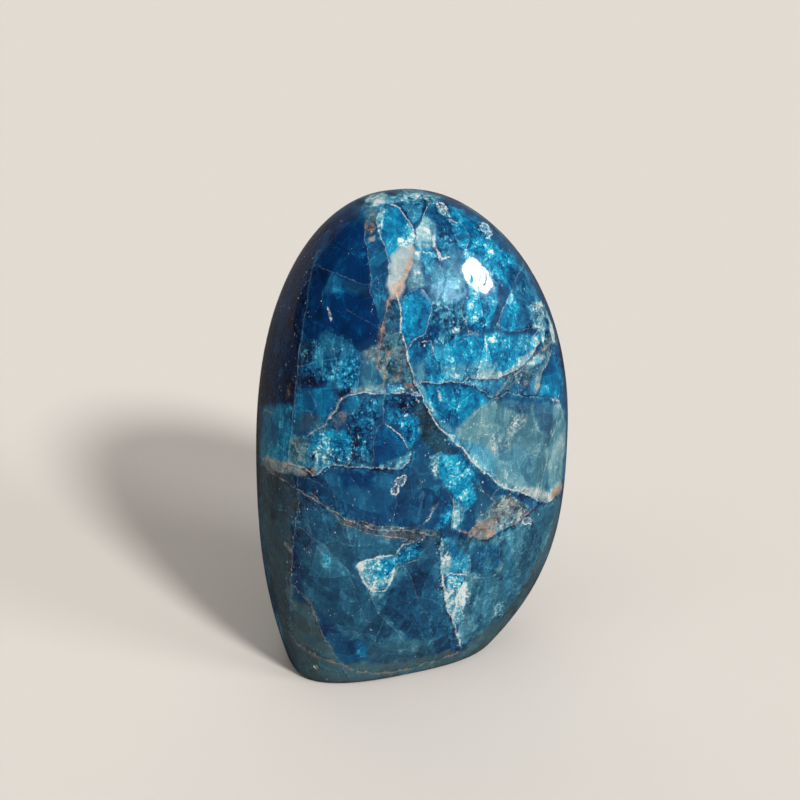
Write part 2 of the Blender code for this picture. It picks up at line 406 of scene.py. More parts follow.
POOLS = [
    # The left flank, darkened with painted shade: nearly black above, deep blue below
    Pool([(352, 190), (330, 222), (314, 258), (306, 296), (300, 345), (293, 405), (240, 410), (235, 320),
          (290, 190)], 0.14, 0.05, grain=0.3, soft=4),
    Pool([(250, 406), (293, 404), (288, 462), (250, 462)], 0.5, 0.0, grain=0.25, soft=12),
    Pool([(277, 300), (291, 296), (288, 350), (274, 356)], 0.21, 0.0, soft=10),
    Pool([(284, 380), (294, 378), (292, 402), (286, 404)], rust=0.25, soft=5),
    # The clear zone at the upper left
    Pool([(352, 204), (374, 212), (366, 240), (371, 290), (380, 318), (376, 334), (350, 348), (330, 338),
          (306, 346), (301, 334), (306, 296), (315, 258), (332, 225)], 0.235, 0.0, soft=4),
    Pool([(314, 265), (329, 270), (322, 300), (318, 340), (303, 345), (306, 300)], 0.17, soft=4),
    Pool([(330, 272), (344, 278), (342, 292), (326, 294), (324, 286)], 0.35, 0.15, soft=5),
    Pool([(343, 280), (372, 288), (366, 297), (347, 292)], 0.25, 0.4, soft=5),
    Pool([(350, 200), (372, 204), (366, 222), (352, 220)], 0.3, 0.4, soft=5),
    Pool([(367, 241), (379, 243), (386, 262), (389, 290), (378, 290), (371, 272)], 0.31, 0.25, soft=2.5),
    Pool([(374, 292), (388, 296), (382, 318), (375, 306)], 0.33, 0.3),
    # The crown; the pale grey band along its top is partly a painted sheen of light from above
    Pool([(352, 196), (375, 188), (400, 184), (430, 188), (445, 197), (430, 206), (396, 202), (376, 206)],
         0.64, 0.55, grain=0.8, soft=4),
    Pool([(376, 214), (384, 207), (386, 216), (382, 232), (384, 244), (377, 236)], 0.68, 0.45, grain=0.9,
         soft=2),
    Pool([(366, 206), (379, 207), (376, 226), (370, 241), (365, 226)], 0.28, 0.8, rust=0.4, grain=0.4),
    Pool([(384, 208), (398, 207), (407, 218), (406, 230), (396, 242), (390, 256), (382, 240)],
         0.45, 0.05, soft=2),
    Pool([(402, 206), (412, 199), (424, 204), (421, 216), (414, 224)], 0.56, 0.35, soft=2),
    Pool([(390, 256), (397, 240), (405, 246), (398, 262), (391, 268)], 0.48, 0.1),
    Pool([(408, 222), (413, 228), (415, 242), (404, 246), (394, 243), (403, 234)],
         0.72, 0.2, grain=0.9, soft=2),
    Pool([(391, 258), (399, 246), (414, 243), (416, 256), (408, 274), (400, 288), (392, 296), (388, 284)],
         0.68, 0.7, milk=0.55, soft=5),
    Pool([(411, 250), (415, 256), (408, 272), (401, 290), (392, 300), (390, 290), (399, 276), (406, 262)],
         rust=0.5, milk=0.5, soft=4),
    Pool([(390, 284), (404, 280), (406, 288), (399, 299), (391, 299)], rust=0.4, milk=0.6, soft=4),
    Pool([(419, 221), (427, 217), (436, 225), (436, 238), (430, 248), (419, 248), (416, 238)],
         0.6, 0.55, milk=0.08, grain=0.25, soft=4),
    Pool([(418, 224), (424, 216), (428, 222), (424, 234), (417, 236)], 0.6, 0.6, milk=0.06, soft=4),
    Pool([(415, 250), (422, 252), (421, 268), (426, 284), (412, 290), (407, 284), (412, 268)],
         0.66, 0.6, milk=0.12, grain=0.5, soft=4),
    Pool([(420, 248), (432, 247), (438, 258), (436, 270), (426, 276), (421, 266)], 0.6, 0.2, grain=0.8),
    # Right of the crown
    Pool([(437, 222), (452, 216), (460, 228), (456, 256), (444, 260), (438, 244)], 0.36, 0.2, grain=0.6),
    Pool([(456, 216), (476, 214), (484, 224), (476, 236), (458, 234)], 0.42, 0.0, grain=0.3, soft=4),
    Pool([(437, 206), (442, 204), (447, 208), (451, 217), (446, 216), (440, 212)], 0.74, 0.75, grain=0.6,
         soft=1.5),
    Pool([(450, 207), (464, 209), (466, 217), (453, 216)], 0.52, 0.05, grain=0.5),
    Pool([(479, 222), (486, 221), (492, 230), (491, 240), (483, 240), (478, 232)], 0.56, 0.1, grain=0.8,
         soft=2),
    # Painted soft blue reflection round the mirrored blue spot: this patch and the next
    Pool([(424, 284), (436, 264), (452, 254), (466, 272), (464, 298), (446, 306), (432, 302)],
         0.5, 0.4, milk=0.04, grain=0.4, soft=14),
    Pool([(440, 276), (452, 272), (460, 284), (456, 302), (444, 304), (438, 292)], 0.6, 0.3, soft=12),
    Pool([(458, 240), (474, 236), (492, 244), (500, 262), (498, 300), (488, 328), (474, 332), (464, 310),
          (470, 290), (462, 262)], 0.57, 0.0, grain=0.7, soft=6),
    Pool([(496, 246), (514, 256), (522, 272), (510, 290), (500, 284)], 0.46, 0.0, grain=0.6, soft=4),
    Pool([(514, 262), (528, 272), (540, 300), (534, 312), (520, 306), (512, 290)],
         0.38, 0.25, grain=0.3, soft=5),
    Pool([(507, 288), (512, 290), (500, 320), (495, 326), (494, 318)], 0.33, soft=3),
    Pool([(512, 290), (520, 306), (516, 332), (498, 327), (504, 310)], 0.68, 0.0, grain=0.5, soft=2),
    Pool([(520, 306), (534, 306), (532, 320), (520, 332), (515, 330)], 0.5, 0.2, grain=0.3),
    Pool([(532, 303), (542, 301), (556, 332), (558, 350), (546, 350), (540, 334), (532, 326)],
         0.73, 0.75, grain=1.0),
    Pool([(544, 316), (548, 322), (551, 336), (546, 334)], 0.28, 0.1, soft=2),
    # The dark grains left of the bright field, and the leaf
    Pool([(432, 302), (462, 304), (470, 322), (456, 340), (436, 350), (420, 362), (412, 352), (428, 336)],
         0.38, 0.35, grain=1.0, soft=6),
    Pool([(425, 330), (440, 322), (438, 338), (424, 346)], 0.27, 0.0, grain=0.4, soft=4),
    Pool([(402, 301), (411, 290), (421, 290), (432, 303), (428, 322), (423, 334), (409, 346), (403, 336)],
         0.5, 0.0, grain=0.4, soft=2),
    Pool([(403, 308), (411, 306), (415, 326), (409, 336), (403, 330)], 0.5, 0.0, grain=0.6, soft=5),
    Pool([(404, 352), (414, 346), (428, 344), (434, 352), (422, 364), (413, 366)], 0.4, 0.1, grain=0.3),
    # The bright field above the cream line
    Pool([(418, 380), (424, 366), (440, 352), (452, 340), (474, 332), (540, 338), (532, 354), (520, 367),
          (500, 378), (440, 382)], 0.56, 0.0, grain=0.5, soft=4),
    Pool([(452, 350), (486, 338), (500, 350), (488, 364), (460, 362)], 0.62, soft=8),
    Pool([(424, 352), (446, 344), (450, 360), (438, 374), (420, 374)], 0.46, 0.1, soft=5),
    Pool([(522, 334), (540, 336), (534, 350), (518, 354), (512, 346)], 0.64, 0.15, grain=0.5, soft=4),
    Pool([(440, 366), (470, 364), (500, 362), (496, 376), (450, 380)], 0.56, 0.45, soft=8),
    Pool([(468, 377), (486, 371), (504, 372), (510, 376), (486, 381)],
         0.56, 0.7, milk=0.16, grain=0.4, soft=2),
    Pool([(504, 372), (520, 360), (534, 347), (536, 353), (522, 366), (508, 376)], 0.58, 0.7, milk=0.12,
         soft=2),
    Pool([(415, 366), (424, 362), (426, 380), (416, 381)], 0.52, 0.5, milk=0.05, soft=5),
    Pool([(466, 382), (486, 382), (506, 377), (500, 390), (494, 394), (480, 388)], 0.5, 0.3, soft=2),
    Pool([(499, 391), (508, 377), (534, 356), (552, 336), (553, 352), (538, 392), (508, 390)],
         0.4, 0.85, grain=0.6, rust=0.28, soft=2),
    Pool([(506, 388), (522, 380), (538, 378), (534, 394), (514, 394)], 0.37, 0.35, grain=0.3),
    Pool([(527, 363), (534, 357), (543, 356), (541, 362), (531, 366)], 0.88, 0.1, grain=0.5, soft=1.5),
    Pool([(552, 342), (560, 350), (565, 380), (562, 398), (540, 396), (546, 372)], 0.38, 0.0, grain=0.3),
    Pool([(541, 384), (549, 384), (549, 394), (540, 394)], 0.6),
    # Left of the diagonal, about its upper half
    Pool([(382, 340), (392, 326), (401, 332), (407, 357), (413, 372), (413, 383), (384, 384), (378, 366)],
         0.44, 0.85, olive_and_floor_reflection=0.2, grain=0.7, rust=0.22, soft=2),
    Pool([(382, 318), (396, 300), (401, 316), (401, 332), (390, 334)], 0.36, 0.6, grain=0.3, soft=2),
    Pool([(362, 356), (378, 348), (378, 372), (376, 390), (360, 392)], 0.42, 0.45, olive_and_floor_reflection=0.2),
    Pool([(362, 352), (380, 344), (380, 362), (366, 364)],
         0.48, 0.85, milk=0.14, rust=0.2, grain=0.8, soft=4),
    Pool([(378, 326), (386, 326), (387, 333), (379, 334)], 0.4, 0.8, rust=0.6, grain=0.6, soft=3),
    Pool([(369, 236), (374, 235), (376, 241), (370, 242)], 0.6, milk=0.4, rust=0.6, soft=2),
    Pool([(402, 384), (414, 383), (416, 391), (406, 392)], 0.34, 0.8, rust=0.6, grain=0.8, soft=3),
    Pool([(386, 385), (401, 386), (406, 392), (388, 392)], 0.55, 0.3, grain=0.9, soft=2),
    Pool([(350, 388), (384, 385), (384, 393), (352, 393)], 0.44, 0.8, milk=0.12, grain=0.5),
    Pool([(384, 396), (418, 398), (424, 412), (410, 412), (392, 414), (386, 408)], 0.28, 0.15, grain=1.0),
    Pool([(414, 400), (424, 406), (440, 432), (456, 450), (440, 454), (424, 444), (412, 426)], 0.24, 0.9,
         rust=0.15, grain=0.3),
    Pool([(400, 416), (410, 411), (420, 420), (421, 434), (414, 446), (405, 442), (399, 430)],
         0.56, 0.0, grain=1.0, soft=4),
    Pool([(386, 404), (400, 412), (398, 428), (388, 424)], 0.35, 0.1, grain=0.5),
    Pool([(376, 430), (386, 426), (404, 440), (403, 456), (396, 467), (378, 467), (374, 450)], 0.34, 0.0),
    Pool([(396, 458), (410, 456), (400, 469), (378, 468)], 0.46, 0.5),
    # The left half between the flank line and the middle
    Pool([(303, 344), (330, 338), (350, 346), (360, 356), (356, 392), (345, 394), (330, 384), (300, 384)],
         0.37, 0.2, grain=0.8, soft=5),
    Pool([(318, 338), (328, 330), (352, 342), (358, 356), (322, 358)], 0.38, 0.35, grain=0.4, soft=9),
    Pool([(336, 364), (358, 360), (356, 390), (344, 392), (332, 378)], 0.46, 0.1, grain=0.9, soft=4),
    Pool([(300, 340), (313, 342), (312, 362), (300, 366)], 0.15, 0.5),
    Pool([(300, 376), (330, 376), (334, 386), (302, 388)], 0.26, 0.1, grain=0.6, soft=8),
    Pool([(297, 390), (328, 386), (336, 400), (330, 416), (300, 428), (293, 420)], 0.38, 0.0, soft=5),
    Pool([(340, 400), (362, 397), (356, 410), (342, 414)], 0.36, 0.1),
    Pool([(338, 396), (341, 390), (352, 386), (350, 392), (344, 396)], 0.0, 0.3, soft=2),
    Pool([(352, 412), (372, 398), (382, 402), (374, 428), (372, 456), (352, 452), (345, 430)],
         0.33, 0.15, grain=0.9, soft=4),
    Pool([(300, 414), (322, 416), (320, 428), (298, 432)], 0.3, 0.35, olive_and_floor_reflection=0.3, soft=5),
    Pool([(330, 418), (344, 411), (349, 419), (336, 429)], 0.36, 0.5, rust=0.42, soft=4),
    Pool([(289, 434), (306, 436), (322, 430), (350, 430), (352, 452), (344, 466), (314, 474), (304, 467),
          (289, 462)], 0.41, 0.1, grain=0.8, soft=4),
    Pool([(322, 432), (348, 430), (350, 446), (338, 456), (322, 452)], 0.56, 0.0, grain=0.85, soft=5),
    Pool([(303, 452), (320, 448), (344, 456), (342, 466), (326, 466), (312, 470), (304, 464)],
         0.41, 0.35, grain=0.9),
    Pool([(290, 436), (308, 438), (306, 462), (290, 464)], 0.42, 0.85, rust=0.3, grain=0.7, soft=4),
    Pool([(261, 457), (288, 463), (304, 467), (318, 466), (314, 474), (296, 475), (272, 472), (260, 466)],
         0.5, 0.9, milk=0.22, rust=0.32, grain=0.8, soft=2.5),
    Pool([(302, 469), (309, 467), (314, 472), (308, 475)], 0.08, 0.4, milk=0.0, soft=2),
    Pool([(352, 452), (372, 456), (371, 468), (344, 466)], 0.33, 0.4, grain=0.8),
    # Between the left half's crack and the tan arc
    Pool([(320, 479), (345, 470), (400, 472), (412, 460), (424, 452), (434, 480), (450, 500), (453, 522),
          (436, 533), (400, 529), (370, 526), (345, 516), (320, 500)], 0.3, 0.25, soft=4),
    Pool([(410, 462), (428, 466), (432, 480), (420, 500), (404, 500)], 0.3, 0.4, soft=8),
    Pool([(340, 473), (374, 472), (372, 486), (345, 488)], 0.2, 0.0, soft=6),
    Pool([(258, 474), (290, 484), (320, 504), (345, 522), (346, 560), (300, 560), (292, 520), (262, 520)],
         0.33, 0.35, olive_and_floor_reflection=0.1, grain=0.2, soft=6),
    # The left rim below the crack: its grey-green is a painted reflection of the floor
    Pool([(256, 466), (290, 476), (297, 500), (292, 524), (256, 524)],
         0.25, 0.6, olive_and_floor_reflection=0.45, grain=0.3, soft=5),
    Pool([(322, 500), (345, 518), (370, 526), (400, 528), (440, 530), (440, 540), (400, 540), (366, 536),
          (338, 524)], 0.32, 0.75, rust=0.3, grain=0.8, olive_and_floor_reflection=0.3),
    # The bright grains in the middle
    Pool([(428, 466), (430, 454), (440, 452), (442, 466), (440, 478), (436, 480)],
         0.66, 0.7, grain=1.0, soft=2),
    Pool([(438, 454), (460, 456), (469, 467), (480, 483), (479, 497), (469, 508), (457, 500), (449, 491),
          (440, 478)], 0.6, 0.0, grain=0.7),
    Pool([(449, 474), (462, 476), (474, 490), (468, 502), (456, 498), (448, 486)],
         0.64, 0.0, grain=0.5, soft=6),
    Pool([(454, 500), (468, 508), (462, 522), (452, 530), (450, 514)], 0.68, 0.55, grain=0.9),
    Pool([(449, 500), (452, 508), (450, 522), (438, 531), (434, 528), (444, 514)], 0.52, 0.0, grain=0.8),
    Pool([(470, 480), (490, 490), (500, 500), (490, 515), (475, 516), (478, 498)], 0.32, 0.55),
    # Right of the diagonal
    Pool([(416, 384), (424, 386), (444, 420), (462, 438), (496, 474), (520, 488), (506, 490), (478, 470),
          (446, 436), (424, 400)], 0.5, 0.5),
    Pool([(424, 386), (462, 386), (476, 389), (490, 399), (480, 409), (468, 416), (462, 426), (452, 428),
          (442, 420), (430, 404)], 0.44, 0.0, grain=0.4),
    Pool([(440, 388), (462, 388), (470, 400), (460, 412), (446, 404)], 0.5, 0.0, grain=0.5, soft=5),
    Pool([(474, 412), (492, 400), (534, 404), (552, 404), (560, 424), (548, 470), (545, 492), (520, 490),
          (500, 484), (484, 470), (462, 444), (456, 430)], 0.45, 1.0, milk=0.03, soft=4),
    Pool([(497, 402), (530, 402), (530, 412), (512, 412)], 0.31, 0.5, grain=0.3, soft=4),
    Pool([(534, 403), (556, 403), (560, 416), (550, 436), (538, 428)], 0.32, 0.5),
    Pool([(458, 440), (480, 444), (494, 452), (496, 478), (480, 468), (466, 452)], 0.48, 0.35, soft=4),
    Pool([(494, 450), (520, 444), (536, 460), (532, 486), (508, 486), (496, 472)], 0.49, 0.7, soft=6),
    Pool([(486, 432), (508, 436), (514, 446), (494, 450)], 0.5, 0.9, milk=0.1, grain=0.5, soft=4),
    Pool([(521, 413), (527, 416), (525, 424), (516, 434), (508, 441), (508, 425)], 0.68, 0.95, grain=0.9,
         milk=0.15, soft=2),
    Pool([(552, 402), (562, 404), (568, 430), (562, 488), (548, 492), (548, 466), (556, 436)],
         0.62, 0.9, soft=4),
    Pool([(512, 490), (532, 487), (548, 493), (562, 480), (562, 489), (548, 501), (532, 497)],
         0.62, 0.9, milk=0.4, grain=0.7, soft=2),
    Pool([(550, 492), (562, 482), (563, 492), (554, 500)], rust=0.55, soft=2),
    # Below the diagonal's end
    Pool([(476, 520), (492, 504), (504, 494), (530, 506), (520, 520), (502, 531), (487, 538), (474, 532)],
         0.42, 0.95, milk=0.07, grain=1.0, rust=0.35),
    Pool([(466, 534), (478, 524), (496, 518), (504, 530), (486, 540)],
         0.44, 0.8, rust=0.5, milk=0.14, grain=1.0),
    Pool([(545, 500), (560, 494), (552, 540), (530, 580), (508, 612), (486, 632), (462, 646), (462, 560),
          (446, 540), (470, 536), (488, 542), (520, 526)], 0.38, 0.78, grain=0.3, soft=4),
    Pool([(464, 548), (500, 544), (504, 560), (494, 574), (470, 574)], 0.32, 0.35, grain=0.3, soft=4),
    Pool([(507, 530), (514, 528), (512, 600), (505, 602)], 0.47, 0.5, soft=6),
    Pool([(484, 550), (491, 556), (488, 626), (481, 624)], 0.45, 0.5, soft=6),
    Pool([(473, 590), (479, 588), (480, 634), (473, 640)], 0.44, 0.6, soft=5),
    # The right rim low down: its grey-green is a painted reflection of the floor
    Pool([(562, 492), (572, 496), (560, 560), (530, 620), (480, 664), (462, 650), (500, 622), (524, 588),
          (546, 544)], 0.36, 0.85, olive_and_floor_reflection=0.75, soft=6),
    # Low in the middle
    Pool([(298, 560), (350, 524), (436, 538), (443, 590), (456, 640), (420, 660), (350, 640), (305, 600)],
         0.36, 0.6, grain=0.1, soft=8),
    Pool([(386, 592), (430, 556), (441, 600), (452, 636), (410, 640), (384, 612)],
         0.28, 0.4, grain=0.2, soft=5),
    Pool([(357, 566), (362, 561), (393, 556), (400, 557), (392, 582), (385, 592), (373, 590)],
         0.66, 0.35, grain=0.9, soft=2),
    Pool([(376, 562), (396, 560), (392, 574), (382, 580), (376, 574)], 0.57, 0.0, grain=0.7, soft=4),
    Pool([(399, 553), (412, 544), (422, 541), (421, 553), (408, 562), (396, 566)], 0.55, 0.05, grain=0.9),
    Pool([(357, 566), (364, 561), (368, 580), (376, 590), (370, 591), (362, 580)], 0.8, 0.4, grain=0.6,
         soft=2),
    Pool([(370, 590), (384, 591), (380, 600), (372, 598)], 0.5, 0.7, grain=0.5, soft=2),
    Pool([(441, 538), (455, 542), (470, 560), (466, 574), (446, 576), (440, 560)], 0.52, 0.15, grain=0.3),
    Pool([(441, 542), (448, 544), (452, 568), (444, 574), (440, 560)], 0.58, 0.7, grain=0.7),
    Pool([(446, 577), (464, 576), (468, 590), (462, 612), (456, 600), (447, 590)],
         0.84, 0.05, grain=0.8, soft=2),
    Pool([(445, 589), (456, 589), (458, 602), (463, 616), (462, 626), (454, 622), (447, 606)], 0.76, 0.45,
         grain=0.8, soft=2),
    Pool([(456, 622), (464, 618), (463, 640), (459, 644)], 0.46, 0.5),
    Pool([(366, 646), (420, 640), (436, 652), (400, 664), (368, 660)], veil=0.75, olive_and_floor_reflection=0.15, soft=8),
    Pool([(322, 553), (329, 555), (330, 563), (324, 567)], 0.58, 0.0, grain=0.5),
    Pool([(356, 643), (364, 641), (368, 650), (362, 657), (355, 652)], 0.5, 0.0, soft=5),
    Pool([(388, 655), (395, 654), (396, 661), (389, 662)], 0.38, 0.5, soft=4),
    Pool([(494, 604), (503, 603), (507, 612), (501, 619), (494, 615)], 0.58, 0.7, grain=1.0, soft=2),
    Pool([(511, 608), (518, 606), (520, 613), (514, 616)], 0.58, 0.7, grain=1.0, soft=2),
    # The rim down the left and round the foot: its grey-green is a painted reflection of the floor
    Pool([(255, 470), (266, 470), (276, 560), (292, 640), (280, 660), (256, 560)],
         0.42, 0.8, olive_and_floor_reflection=0.6, soft=5),
    Pool([(268, 520), (290, 520), (292, 560), (290, 620), (296, 660), (276, 650)],
         0.33, 0.7, olive_and_floor_reflection=0.6, soft=6),
    Pool([(290, 600), (312, 606), (324, 640), (345, 668), (400, 672), (460, 654), (520, 600), (530, 630),
          (420, 700), (300, 690)], 0.38, 0.85, olive_and_floor_reflection=0.7, soft=6),
    Pool([(350, 664), (400, 662), (450, 650), (456, 660), (400, 676), (346, 674)], 0.42, 0.9, olive_and_floor_reflection=0.7,
         rust=0.1, soft=5),
    Pool([(296, 672), (350, 680), (400, 678), (460, 662), (500, 630), (530, 600), (540, 640), (420, 700),
          (290, 700)], 0.33, 0.85, olive_and_floor_reflection=0.9, soft=4),
]

# Where the polish is chipped, and where it is only scuffed: the middle and the size, in pixels of the photo.
CHIPS = [
    ((401, 481), 6.0), ((396, 491), 4.0), ((439, 205), 3.6), ((445, 210), 3.4), ((484, 227), 4.4),
    ((489, 234), 4.2), ((316, 667), 2.4), ((526, 521), 3.5), ((467, 594), 2.5),
]
SCUFFS = [
    ((457, 258), 9.0), ((492, 258), 11.0), ((462, 288), 8.0), ((499, 274), 9.0), ((476, 247), 9.0),
    ((476, 300), 7.0), ((495, 298), 8.0), ((467, 281), 5.0),
]

# The front where no patch says otherwise
PLAIN_GLOW = 0.28
PLAIN_VEIL = 0.25

CHANNELS = ("glow", "veil", "milk", "rust", "grain", "olive_and_floor_reflection")
LAYERS = ("main", "fine")
LINE_MARKS = ("Off", "Near", "Bright", "Dark", "Width")
# In mm: how far off a crack counts as none, a crack line's width where there is none, and how far a crack's
# rust and its groove reach.
FAR_OFF = 9.0
LINE_WIDTH = 0.15
RUST_HALO = 0.5
SHEET_RUST_HALO = 0.6
GROOVE_HALO = 0.22


def smooth_step(value, low, high):
    """Eases from 0 to 1 while the value goes from low to high."""
    share = np.clip((value - low) / (high - low), 0, 1)
    return share * share * (3 - 2 * share)


def wander(points, size, seed):
    """Smooth seeded noise, from about -1 to 1, which changes over the distance size."""
    shift = Vector((seed * 17.3, seed * 5.7, seed * 11.9))
    spread = (points / size).tolist()
    return np.array([noise.noise(Vector(place) + shift) for place in spread]) * 1.6


def from_path(places, path):
    """How far each place is from a path, and whether it is on its right (1) or its left (-1)."""
    nearest = np.full(len(places), np.inf)
    side = np.ones(len(places))
    corners = np.array(path, float)
    for start, run in zip(corners, np.diff(corners, axis=0)):
        offset = places - start
        share = np.clip(offset @ run / (run @ run), 0, 1)
        away = np.hypot(*(offset - share[:, None] * run).T)
        right = np.where(run[0] * offset[:, 1] - run[1] * offset[:, 0] > 0, 1.0, -1.0)
        side = np.where(away < nearest, right, side)
        nearest = np.minimum(away, nearest)
    return nearest, side


def inside(places, outline):
    """Whether each place is inside an outline."""
    found = np.zeros(len(places), bool)
    corners = np.array(outline, float)
    for start, end in zip(corners, np.roll(corners, -1, axis=0)):
        between = (start[1] > places[:, 1]) != (end[1] > places[:, 1])
        rise = np.where(between, end[1] - start[1], 1.0)
        crossing = start[0] + (places[:, 1] - start[1]) / rise * (end[0] - start[0])
        found ^= between & (places[:, 0] < crossing)
    return found


def patch_mask(places, outline, soft):
    """1 inside an outline and 0 outside it, with an edge that is soft on both sides."""
    edge, _ = from_path(places, outline + outline[:1])
    depth = np.where(inside(places, outline), edge, -edge)
    return smooth_step(depth, -soft / 2, soft / 2)


class Marks:
    """What lies under the polish at each point of the skin."""

    def __init__(self, count):
        self.values = {name: np.zeros(count) for name in CHANNELS}
        self.haze = np.zeros(count)
        self.groove = np.zeros(count)
        self.chip = np.zeros(count)
        self.scuff = np.zeros(count)
        self.lines = {
            layer: {"off": np.full(count, FAR_OFF), "near": np.full(count, FAR_OFF),
                    "bright": np.zeros(count), "dark": np.zeros(count), "width": np.full(count, LINE_WIDTH)}
            for layer in LAYERS
        }

    def add_line(self, layer, near, off, crack):
        """Where this crack is the nearest of its layer, the layer's line follows it."""
        line = self.lines[layer]
        nearer = near < line["near"]
        line["near"] = np.where(nearer, near, line["near"])
        line["off"] = np.where(nearer, off, line["off"])
        for name, value in (("bright", crack.bright), ("dark", crack.dark), ("width", crack.width)):
            line[name] = np.where(nearer, value, line[name])

    def add_fracture(self, crack, near, fading, rust_halo):
        """The crack's haze, its rust and how open it is, for points at these distances from it in mm."""
        self.haze = np.maximum(self.haze, abs(crack.haze) * fading)
        rust = crack.rust * np.exp(-((near / rust_halo) ** 2))
        self.values["rust"] = np.maximum(self.values["rust"], rust)
        self.groove = np.maximum(self.groove, crack.groove * np.exp(-((near / GROOVE_HALO) ** 2)))


def wander_along(points, size, seed, axes):
    """Smooth seeded noise along each axis."""
    return np.stack([wander(points, size, seed + axis) for axis in range(axes)], axis=1)


def mark_front(points):
    """Marks of the front, from the fractures and patches that the photo shows."""
    marks = Marks(len(points))
    pixels = photo_pixels(points)
    sway = wander_along(points, 2.2 * MM, seed=3, axes=2) * 1.1
    sway += wander_along(points, 0.8 * MM, seed=5, axes=2) * 0.6
    places = pixels + sway
    marks.values["glow"][:] = PLAIN_GLOW
    marks.values["veil"][:] = PLAIN_VEIL
    for pool in POOLS:
        share = patch_mask(pixels + 1.5 * sway, pool.outline, pool.soft)
        for name in CHANNELS:
            wanted = getattr(pool, name)
            if wanted is not None:
                marks.values[name] += (wanted - marks.values[name]) * share
    for layer, cracks in zip(LAYERS, (MAIN_CRACKS, FINE_CRACKS)):
        for crack in cracks:
            away, side = from_path(places, crack.path)
            near = away / PIXELS_PER_MM
            toward_haze = side * np.sign(crack.haze or 1)
            marks.add_line(layer, near, near * toward_haze, crack)
            fading = np.where(toward_haze > 0, np.exp(-near / crack.reach), 0)
            marks.add_fracture(crack, near, fading, RUST_HALO)
    for name, spots, core in (("chip", CHIPS, 0.5), ("scuff", SCUFFS, 0.1)):
        for middle, size in spots:
            away = np.hypot(*(pixels + 2.2 * sway - middle).T)
            worn = 1 - smooth_step(away, size * core, size * 1.15)
            setattr(marks, name, np.maximum(getattr(marks, name), worn))
    return marks


SHEETS = 34
SHEET_SEED = 11
BLOCKS = 130
BLOCK_SEED = 5
# Heights count for less than widths do, so the blocks are taller than they are wide.
BLOCK_MEASURE = (1.0, 1.0, 0.72)
# Shades of the blocks between the sheets, and how often each comes.
BLOCK_KINDS = [
    ({"glow": 0.22, "veil": 0.05, "grain": 0.0}, 0.27),
    ({"glow": 0.3, "veil": 0.3, "grain": 0.1}, 0.24),
    ({"glow": 0.38, "veil": 0.0, "grain": 0.3}, 0.2),
    ({"glow": 0.5, "veil": 0.0, "grain": 0.5}, 0.14),
    ({"glow": 0.42, "veil": 0.6, "grain": 0.3}, 0.07),
    ({"glow": 0.6, "veil": 0.2, "grain": 0.9}, 0.05),
    ({"glow": 0.55, "veil": 0.8, "grain": 0.5, "milk": 0.5, "rust": 0.35}, 0.03),
]


def mark_blocks(points, marks):
    """Splits the stone into blocks, each of one shade, with faint cracks where they meet."""
    random = np.random.default_rng(BLOCK_SEED)
    half = np.array([cad_high.x, cad_high.y, HEIGHT / 2])
    seeds = random.uniform(-1, 1, size=(BLOCKS, 3)) * half + (0, 0, HEIGHT / 2)
    bend = wander_along(points, 7 * MM, seed=60, axes=3) * 0.9 * MM
    bend += wander_along(points, 1.6 * MM, seed=66, axes=3) * 0.25 * MM
    first = np.full(len(points), np.inf)
    second = np.full(len(points), np.inf)
    owner = np.zeros(len(points), int)
    for number, seed in enumerate(seeds):
        away = np.linalg.norm((points + bend - seed) * BLOCK_MEASURE, axis=1)
        nearer = away < first
        second = np.where(nearer, first, np.minimum(second, away))
        owner = np.where(nearer, number, owner)
        first = np.minimum(first, away)
    kinds = random.choice(len(BLOCK_KINDS), BLOCKS, p=[share for _, share in BLOCK_KINDS])
    for name in CHANNELS:
        shades = np.array([BLOCK_KINDS[kind][0].get(name, 0.0) for kind in kinds])
        if name == "glow":
            shades += random.uniform(-0.06, 0.06, BLOCKS)
        marks.values[name] += shades[owner]
    near = (second - first) / 2 / MM
    shown = random.uniform(0, 1, BLOCKS)[owner]
    line = marks.lines["fine"]
    line["near"][:] = np.minimum(near, FAR_OFF)
    line["off"][:] = np.minimum(near, FAR_OFF)
    line["bright"][:] = smooth_step(shown, 0.2, 1.0) * 0.8
    line["dark"][:] = smooth_step(shown, 0.5, 0.9) * 0.5
    line["width"][:] = 0.16
    marks.haze = 0.16 * shown * np.exp(-near / 1.0)


